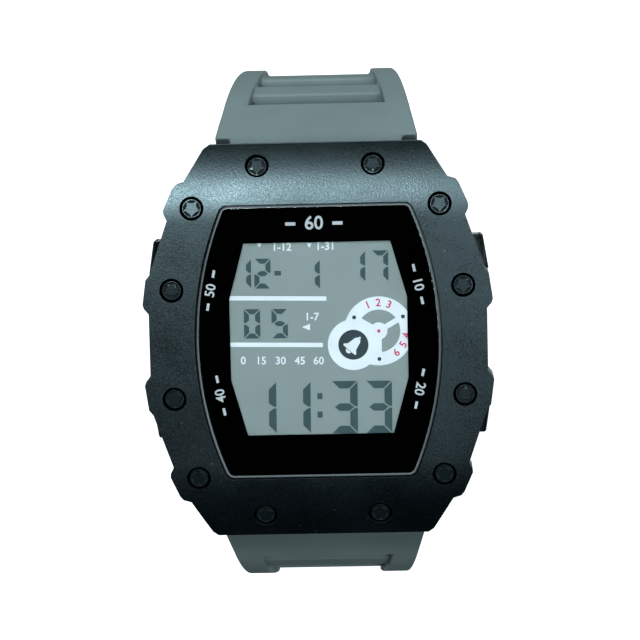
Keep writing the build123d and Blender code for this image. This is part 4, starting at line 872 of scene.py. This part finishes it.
def on_ring(angle):
    """Centre of a dot or number on the ring's rim."""
    x, y = RING_CENTRE
    turn = math.radians(angle)
    return x + RING_MARK_RADIUS * math.cos(turn), y + RING_MARK_RADIUS * math.sin(turn)


def spoke_arc(radius, start, finish, steps):
    """Arc about the ring's centre, from the edge of one spoke to that of the next."""
    half_spoke = math.degrees(math.asin(RING_SPOKE / 2 / radius))
    return arc(RING_CENTRE, radius, start + half_spoke, finish - half_spoke, steps)


def ring_opening(start, finish):
    """Opening of the ring between the spokes at two angles."""
    outer = spoke_arc(RING_INNER_RADIUS, start, finish, OPENING_STEPS)
    return outer + spoke_arc(RING_HUB_RADIUS, start, finish, HUB_STEPS)[::-1]


def bell_loops(scale):
    """A plain hand bell with its clapper and knob, upright on the origin."""
    top = arc((0, BELL_TOP), BELL_TOP_RADIUS, 180 - BELL_TOP_LEAN, BELL_TOP_LEAN, BELL_TOP_STEPS)
    bell = [*top, *BELL_SIDE, *((-x, y) for x, y in reversed(BELL_SIDE))]
    clapper = arc((0, BELL_CLAPPER), BELL_CLAPPER_RADIUS, 180, 360, CLAPPER_STEPS)
    knob = circle((0, BELL_KNOB), BELL_KNOB_RADIUS, KNOB_STEPS)
    return [[(x * scale, y * scale) for x, y in loop] for loop in (bell, clapper, knob)]


def printed(name, loops, low, high, finish):
    """Flat piece of the display, between two heights."""
    new_object(name, plate_mesh(name, loops, low, high), finish, "watch")


# Heights of the printed layers, on the overlay and under the glass
print_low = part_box("display_overlay")[1].z / MM
print_high = print_low + PRINT_THICKNESS
ring_high = print_high + PRINT_THICKNESS
field_high = ring_high + FIELD_THICKNESS
disc_high = ring_high + PRINT_THICKNESS
mask_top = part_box("lens_mask")[1].z / MM
glass_print_low, glass_print_high = mask_top - PRINT_THICKNESS / 2, mask_top + PRINT_THICKNESS / 2

# Liquid crystal digits
digit_loops = [loop for row in DIGIT_ROWS for loop in number_loops(*row)]
digit_loops += [bar(*sizes) for sizes in DIGIT_BARS]
printed("display_digits", turned(digit_loops, DIGIT_TURN), print_low, print_high, segment_ink)

# White rules, pointers and number scales
rule_loops = [bar(*sizes) for sizes in RULES] + list(POINTERS)
white_meshes = [plate_mesh("rules", turned(rule_loops, DISPLAY_TURN), print_low, print_high)]
for text, place in LABELS:
    white_meshes.append(text_mesh("label", text, place, LABEL_HEIGHT, DISPLAY_TURN, print_low, print_high))
new_object("display_printing", joined("display_printing", white_meshes), white_ink, "watch")

# Spoked ring, and its small disc with the bell
ring_loops = [circle(RING_CENTRE, RING_RADIUS, RIM_STEPS)]
ring_loops += [ring_opening(start, finish) for start, finish in RING_OPENINGS]
printed("display_ring", ring_loops, print_low, ring_high, white_ink)
disc_loops = [circle(DISC_CENTRE, DISC_RADIUS, RIM_STEPS)]
disc_loops.append(circle(DISC_CENTRE, DISC_INNER_RADIUS, FIELD_STEPS))
printed("display_disc", disc_loops, print_low, disc_high, white_ink)
field_loops = [circle(DISC_CENTRE, DISC_INNER_RADIUS + FIELD_OVERLAP, FIELD_STEPS)]
printed("disc_field", field_loops, ring_high, field_high, dark_ink)
bell = turned(bell_loops(BELL_SCALE), BELL_TURN)
bell = moved(bell, DISC_CENTRE[0] + BELL_SHIFT, DISC_CENTRE[1] - BELL_SHIFT)
printed("disc_bell", bell, field_high, disc_high, white_ink)

# Dots and red numbers of the ring
dots = [circle(on_ring(angle), RING_DOT_RADIUS, DOT_STEPS) for angle in RING_DOT_ANGLES]
printed("ring_dots", dots, ring_high, disc_high, dark_ink)
centre_dot = circle(RING_CENTRE, RING_CENTRE_DOT_RADIUS, DOT_STEPS)
red_meshes = [plate_mesh("ring_centre", [centre_dot], ring_high, disc_high)]
for text, angle in RING_NUMBERS:
    upright = angle - 90 if angle > 0 else angle + 90
    red_meshes.append(text_mesh("number", text, on_ring(angle), LABEL_HEIGHT, upright, ring_high, disc_high))
new_object("ring_numbers", joined("ring_numbers", red_meshes), red_ink, "watch")

# White printing under the glass: the minute scale and its dashes
glass_meshes = []
for text, place, height, angle, (thick, long) in MINUTES:
    glass_meshes.append(text_mesh("minutes", text, place, height, angle, glass_print_low, glass_print_high))
    for side in (-1, 1):
        dash = bar(side * (DASH_PLACE * height + long / 2) - long / 2, -thick / 2, long, thick)
        loops = moved(turned([dash], angle), *place)
        glass_meshes.append(plate_mesh("dash", loops, glass_print_low, glass_print_high))
new_object("glass_printing", joined("glass_printing", glass_meshes), white_ink, "watch")

# Strap: routes of the middle line, as in the part, in runs of length and turn
case_route = [(SHOULDER_LENGTH, SHOULDER_TURN), (SIDE_RADIUS * math.radians(SIDE_TURN), SIDE_TURN)]
upper_route = case_route + [(CURL_RADIUS * math.radians(CURL_TURN), CURL_TURN), (STRAIGHT_END, 0)]
tail_turn = 180 - ROOT_ANGLE - SHOULDER_TURN - SIDE_TURN
tail_curve = TAIL_CURVE_RADIUS * math.radians(tail_turn)
lower_route = case_route + [(TAIL_DROP, 0), (tail_curve, tail_turn), (TAIL_FLAT, 0)]


def route_point(route, distance):
    """Place and slope of the strap's middle line at a distance from its case pin."""
    y, z, slope = PIN_Y, PIN_Z, math.radians(ROOT_ANGLE)
    for length, turn in route:
        step = min(length, distance)
        if turn:
            radius = length / math.radians(turn)
            end_slope = slope + step / radius
            y += radius * (math.sin(end_slope) - math.sin(slope))
            z += radius * (math.cos(end_slope) - math.cos(slope))
            slope = end_slope
        else:
            y += step * math.cos(slope)
            z -= step * math.sin(slope)
        distance -= step
    return y, z, slope


def on_strap(route, end, distance, x, height):
    """Place on a strap half, at a height over its middle line, in metres."""
    y, z, slope = route_point(route, distance)
    return point(x, end * (y + height * math.sin(slope)), z + height * math.cos(slope))


def band_width(distance):
    """Width of the strap at a distance from its case pin."""
    share = (distance - TAPER_START) / (TAPER_END - TAPER_START)
    return STRAP_ROOT_WIDTH + (STRAP_WIDTH - STRAP_ROOT_WIDTH) * min(max(share, 0), 1)


def band_outer(distance):
    """Height of the strap's outer face over its middle line."""
    return STRAP_OUTER + STRAP_ROOT_RISE * max(1 - distance / SHOULDER_LENGTH, 0)


def rail_inner(distance):
    """Distance of a rail's inner side from the middle of the strap."""
    vent_side = band_width(distance) / 2 - VENT_RAIL
    share = min(max((distance - KNUCKLE_ROOM) / (VENT_START - KNUCKLE_ROOM), 0), 1)
    return KNUCKLE_LENGTH / 2 * (1 - share) + vent_side * share


def tip_share(distance, finish):
    """Share of the strap's width that is left near its rounded tip."""
    over = distance - (finish - TIP_RADIUS)
    if over <= 0:
        return 1.0
    half = STRAP_WIDTH / 2 - TIP_RADIUS + math.sqrt(max(TIP_RADIUS**2 - over**2, 0))
    return half / (STRAP_WIDTH / 2)


def lines_between(marks, step):
    """Marks with even lines between them, no further apart than a step."""
    out = [marks[0]]
    for near, far in zip(marks[:-1], marks[1:]):
        count = max(1, math.ceil((far - near) / step - ROUNDING))
        out += [near + (far - near) * i / count for i in range(1, count + 1)]
    return out


def strap_mesh(name, route, end, finish, inner_columns, holes=(), slot_start=None, tip=False):
    """One strap half as a lattice of cells in two layers, with vents, dropped bars and holes."""
    vent_starts = [VENT_START + i * VENT_PITCH for i in range(VENT_COUNT)]
    vents = [(start, start + VENT_LENGTH) for start in vent_starts]
    vent_end = VENT_START + VENT_COUNT * VENT_PITCH
    patches = [(hole - HOLE_PATCH, hole + HOLE_PATCH) for hole in holes]
    marks = {BAND_START, KNUCKLE_ROOM, SHOULDER_LENGTH, vent_end, finish}
    marks.update(itertools.chain(*vents))
    marks.update(hole + HOLE_PATCH * share for hole in holes for share in HOLE_LINES)
    if slot_start is not None:
        marks.add(slot_start)
    if tip:
        marks.update(finish - TIP_RADIUS * (1 - math.sin(math.radians(a))) for a in TIP_LINE_ANGLES)
    rows = lines_between(sorted(marks), STRAP_STEP)
    count = 2 * (len(inner_columns) + 2)
    middle_columns = range(count // 2 - len(inner_columns), count // 2 + len(inner_columns))

    def columns(distance):
        """Places of the lattice's lines across the strap."""
        narrow = tip_share(distance, finish) if tip else 1.0
        half = [*inner_columns, rail_inner(distance), band_width(distance) / 2]
        return [-x * narrow for x in reversed(half)] + [0.0] + [x * narrow for x in half]

    def row_middle(row):
        """Distance of a row of cells from the case pin."""
        return (rows[row] + rows[row + 1]) / 2

    def within(row, spans):
        """Whether a row of cells lies in one of several spans."""
        return any(near < row_middle(row) < far for near, far in spans)

    def filled(row, column, layer):
        """Whether a cell is rubber."""
        if not (0 <= row < len(rows) - 1 and 0 <= column < count and 0 <= layer < 2):
            return False
        middle = row_middle(row)
        if column in (0, count - 1):
            return middle > KNUCKLE_ROOM
        if within(row, vents) or layer == 1 and VENT_START < middle < vent_end:
            return False
        if column in middle_columns:
            in_slot = slot_start is not None and middle > slot_start
            return not (in_slot or within(row, patches))
        return True

    def height(row, level):
        """Height of a lattice point over the middle line."""
        return (-STRAP_INNER, STRAP_OUTER - BAR_DROP, band_outer(rows[row]))[level]

    whole = bmesh.new()
    lines = [columns(row) for row in rows]
    made = {}

    def vertex(row, column, level):
        """Vertex at a lattice point, made when it is first asked for."""
        key = (row, column, level)
        if key not in made:
            place = on_strap(route, end, rows[row], lines[row][column], height(row, level))
            made[key] = whole.verts.new(place)
        return made[key]

    def add_hole(hole):
        """Faces from the border of a hole's patch to its rim, and down its bore."""
        first = rows.index(min(rows, key=lambda row: abs(row - (hole - HOLE_PATCH))))
        low, span = middle_columns.start, len(middle_columns)
        border = [(first, low + i) for i in range(span)]
        border += [(first + i, low + span) for i in range(span)]
        border += [(first + span, low + span - i) for i in range(span)]
        border += [(first + span - i, low) for i in range(span)]
        rings = []
        for level in range(3):
            ring = []
            for row, column in border:
                across, along = lines[row][column], rows[row] - hole
                reach = HOLE_RADIUS / math.hypot(across, along)
                place = on_strap(route, end, hole + along * reach, across * reach, height(row, level))
                ring.append(whole.verts.new(place))
            rings.append(ring)
        for i in range(len(border)):
            j = (i + 1) % len(border)
            for level in (0, 2):
                outer = [vertex(*border[i], level), vertex(*border[j], level)]
                whole.faces.new([*outer, rings[level][j], rings[level][i]])
            for near, far in zip(rings[:-1], rings[1:]):
                whole.faces.new([near[i], near[j], far[j], far[i]])

    patch_rows = {row for row in range(len(rows) - 1) if within(row, patches)}
    for row, column, layer in itertools.product(range(len(rows) - 1), range(count), range(2)):
        if not filled(row, column, layer):
            continue
        for (row_step, column_step, layer_step), corners in CELL_SIDES:
            if filled(row + row_step, column + column_step, layer + layer_step):
                continue
            at_patch = row + row_step in patch_rows and column + column_step in middle_columns
            if at_patch and layer_step == 0:
                continue
            whole.faces.new([vertex(row + r, column + c, layer + k) for r, c, k in corners])
    for hole in holes:
        add_hole(hole)
    return closed_mesh_of(name, whole)


def tube_mesh(name, y, z, start, finish, radius, bore):
    """Round tube along X with a bore."""
    whole = bmesh.new()
    turns = [2 * math.pi * i / TUBE_STEPS for i in range(TUBE_STEPS)]
    rings = []
    for x, r in ((start, bore), (start, radius), (finish, radius), (finish, bore)):
        places = [point(x, y + r * math.cos(t), z + r * math.sin(t)) for t in turns]
        rings.append([whole.verts.new(place) for place in places])
    join_rings(whole, rings)
    return closed_mesh_of(name, whole)


def finish_soft(name, mesh, body, node, edge):
    """Rubber piece with rounded edges that stands for a CAD node."""
    obj = new_object(name, mesh, strap_finish, body)
    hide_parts(node)
    mesh.shade_smooth()
    round_edges(obj, edge, RUBBER_EDGE_ANGLE)


# Strap halves: each band with the knuckles on its pins
case_tube = (-KNUCKLE_LENGTH / 2, KNUCKLE_LENGTH / 2, KNUCKLE_RADIUS, KNUCKLE_BORE)
buckle_tube = (BUCKLE_KNUCKLE_RADIUS, BUCKLE_KNUCKLE_BORE)
upper_end, lower_end = (sum(length for length, _ in route) for route in (upper_route, lower_route))
buckle_y, buckle_z, _ = route_point(upper_route, upper_end)
slot_half, band_half = TONGUE_SLOT_WIDTH / 2, STRAP_WIDTH / 2
band_finish, slot_start = upper_end - BUCKLE_END_GAP, upper_end - TONGUE_SLOT_REACH
upper_parts = [
    strap_mesh("upper_band", upper_route, 1, band_finish, [slot_half], slot_start=slot_start),
    tube_mesh("upper_knuckle", PIN_Y, PIN_Z, *case_tube),
    tube_mesh("end_knuckle_left", buckle_y, buckle_z, -band_half, -slot_half, *buckle_tube),
    tube_mesh("end_knuckle_right", buckle_y, buckle_z, slot_half, band_half, *buckle_tube),
]
holes = sorted(lower_end - LAST_HOLE_FROM_TIP - i * HOLE_PITCH for i in range(HOLE_COUNT))
hole_columns = [HOLE_PATCH / 2, HOLE_PATCH]
lower_parts = [
    strap_mesh("lower_band", lower_route, -1, lower_end, hole_columns, holes=holes, tip=True),
    tube_mesh("lower_knuckle", -PIN_Y, PIN_Z, *case_tube),
]
for half, parts in (("upper", upper_parts), ("lower", lower_parts)):
    name = f"{half}_strap_rubber"
    finish_soft(name, joined(name, parts), f"{half}_strap", f"strap_{half}", STRAP_EDGE)


def keeper_mesh(name, from_pin):
    """Keeper round the upper strap half, its loops square to the strap."""
    distance = upper_end - from_pin
    middle = (KEEPER_LOW + KEEPER_HIGH) / 2
    wide, tall, wall = KEEPER_INNER_WIDTH, KEEPER_HIGH - KEEPER_LOW, KEEPER_WALL
    inner = rounded(wide, tall, KEEPER_CORNER)
    outer = rounded(wide + 2 * wall, tall + 2 * wall, KEEPER_CORNER + wall)
    whole = bmesh.new()
    rings = []
    for loop, along in ((inner, -1), (outer, -1), (outer, 1), (inner, 1)):
        place = distance + along * KEEPER_WIDTH / 2
        rings.append([whole.verts.new(on_strap(upper_route, 1, place, x, middle + h)) for x, h in loop])
    join_rings(whole, rings)
    return closed_mesh_of(name, whole)


for node, body, from_pin in KEEPERS:
    name = f"{node}_rubber"
    finish_soft(name, keeper_mesh(name, from_pin), body, node, KEEPER_EDGE)

# Floor
floor_mesh = bpy.data.meshes.new("floor")
floor_z = cad_low.z / MM
floor_corners = bar(-FLOOR_SIZE / 2, -FLOOR_SIZE / 2, FLOOR_SIZE, FLOOR_SIZE)
floor_mesh.from_pydata([point(x, y, floor_z) for x, y in floor_corners], [], [(0, 1, 2, 3)])
floor = linked("floor", floor_mesh)
floor_finish, _, floor_shader, _ = new_material("floor")
floor_shader.inputs["Base Color"].default_value = FLOOR_COLOUR
floor_shader.inputs["Roughness"].default_value = FLOOR_ROUGH
floor_shader.inputs["Emission Strength"].default_value = FLOOR_GLOW
floor_mesh.materials.append(floor_finish)
floor.visible_diffuse = False
floor.visible_glossy = False

# Soft lights, each facing the watch
for name, (leans, sizes, watts, tint) in LIGHTS.items():
    light = bpy.data.lights.new(name, "AREA")
    light.shape = "RECTANGLE"
    light.size, light.size_y = sizes[0] * MM, sizes[1] * MM
    light.energy = watts
    light.color = tint
    lamp = linked(name, light)
    direction = leaning(*leans)
    lamp.location = direction * LIGHT_DISTANCE * MM
    lamp.rotation_euler = direction.to_track_quat("Z", "Y").to_euler()

# Surroundings: dark overhead, pale near the horizon
world = bpy.data.worlds.new("studio")
bpy.context.scene.world = world
world.use_nodes = True
sky = world.node_tree
towards = parts_of(sky, sky.nodes.new("ShaderNodeTexCoord").outputs["Generated"])
horizon = mix(sky, remap(sky, towards["Y"], *SIX_TO_TWELVE, 0, 1), HORIZON_SIX, HORIZON_TWELVE)
sky_colour = mix(sky, remap(sky, towards["Z"], *HORIZON_TO_OVERHEAD, 0, 1), horizon, OVERHEAD)
sky.links.new(sky_colour, sky.nodes["Background"].inputs["Color"])

# Camera
camera_data = bpy.data.cameras.new("camera")
camera = linked("camera", camera_data)
bpy.context.scene.camera = camera
away = leaning(CAMERA_YAW, CAMERA_TILT)
right = (-away).cross(Vector((0, 1, 0))).normalized()
up = right.cross(-away)
roll = math.radians(CAMERA_ROLL)
rolled_right = right * math.cos(roll) + up * math.sin(roll)
rolled_up = up * math.cos(roll) - right * math.sin(roll)
turn = Matrix((rolled_right, rolled_up, away)).transposed().to_4x4()
camera.matrix_world = Matrix.Translation(point(*CAMERA_TARGET) + away * CAMERA_DISTANCE * MM) @ turn
camera_data.sensor_width = SENSOR_MM
camera_data.lens = SENSOR_MM * FOCAL_PX / PHOTO_PX
camera_data.shift_x = (PHOTO_PX / 2 - CENTRE_PX[0]) / PHOTO_PX
camera_data.shift_y = (CENTRE_PX[1] - PHOTO_PX / 2) / PHOTO_PX
camera_data.clip_start = CLIP_START * MM
camera_data.clip_end = CLIP_END * MM
bpy.context.scene.view_settings.view_transform = "Standard"
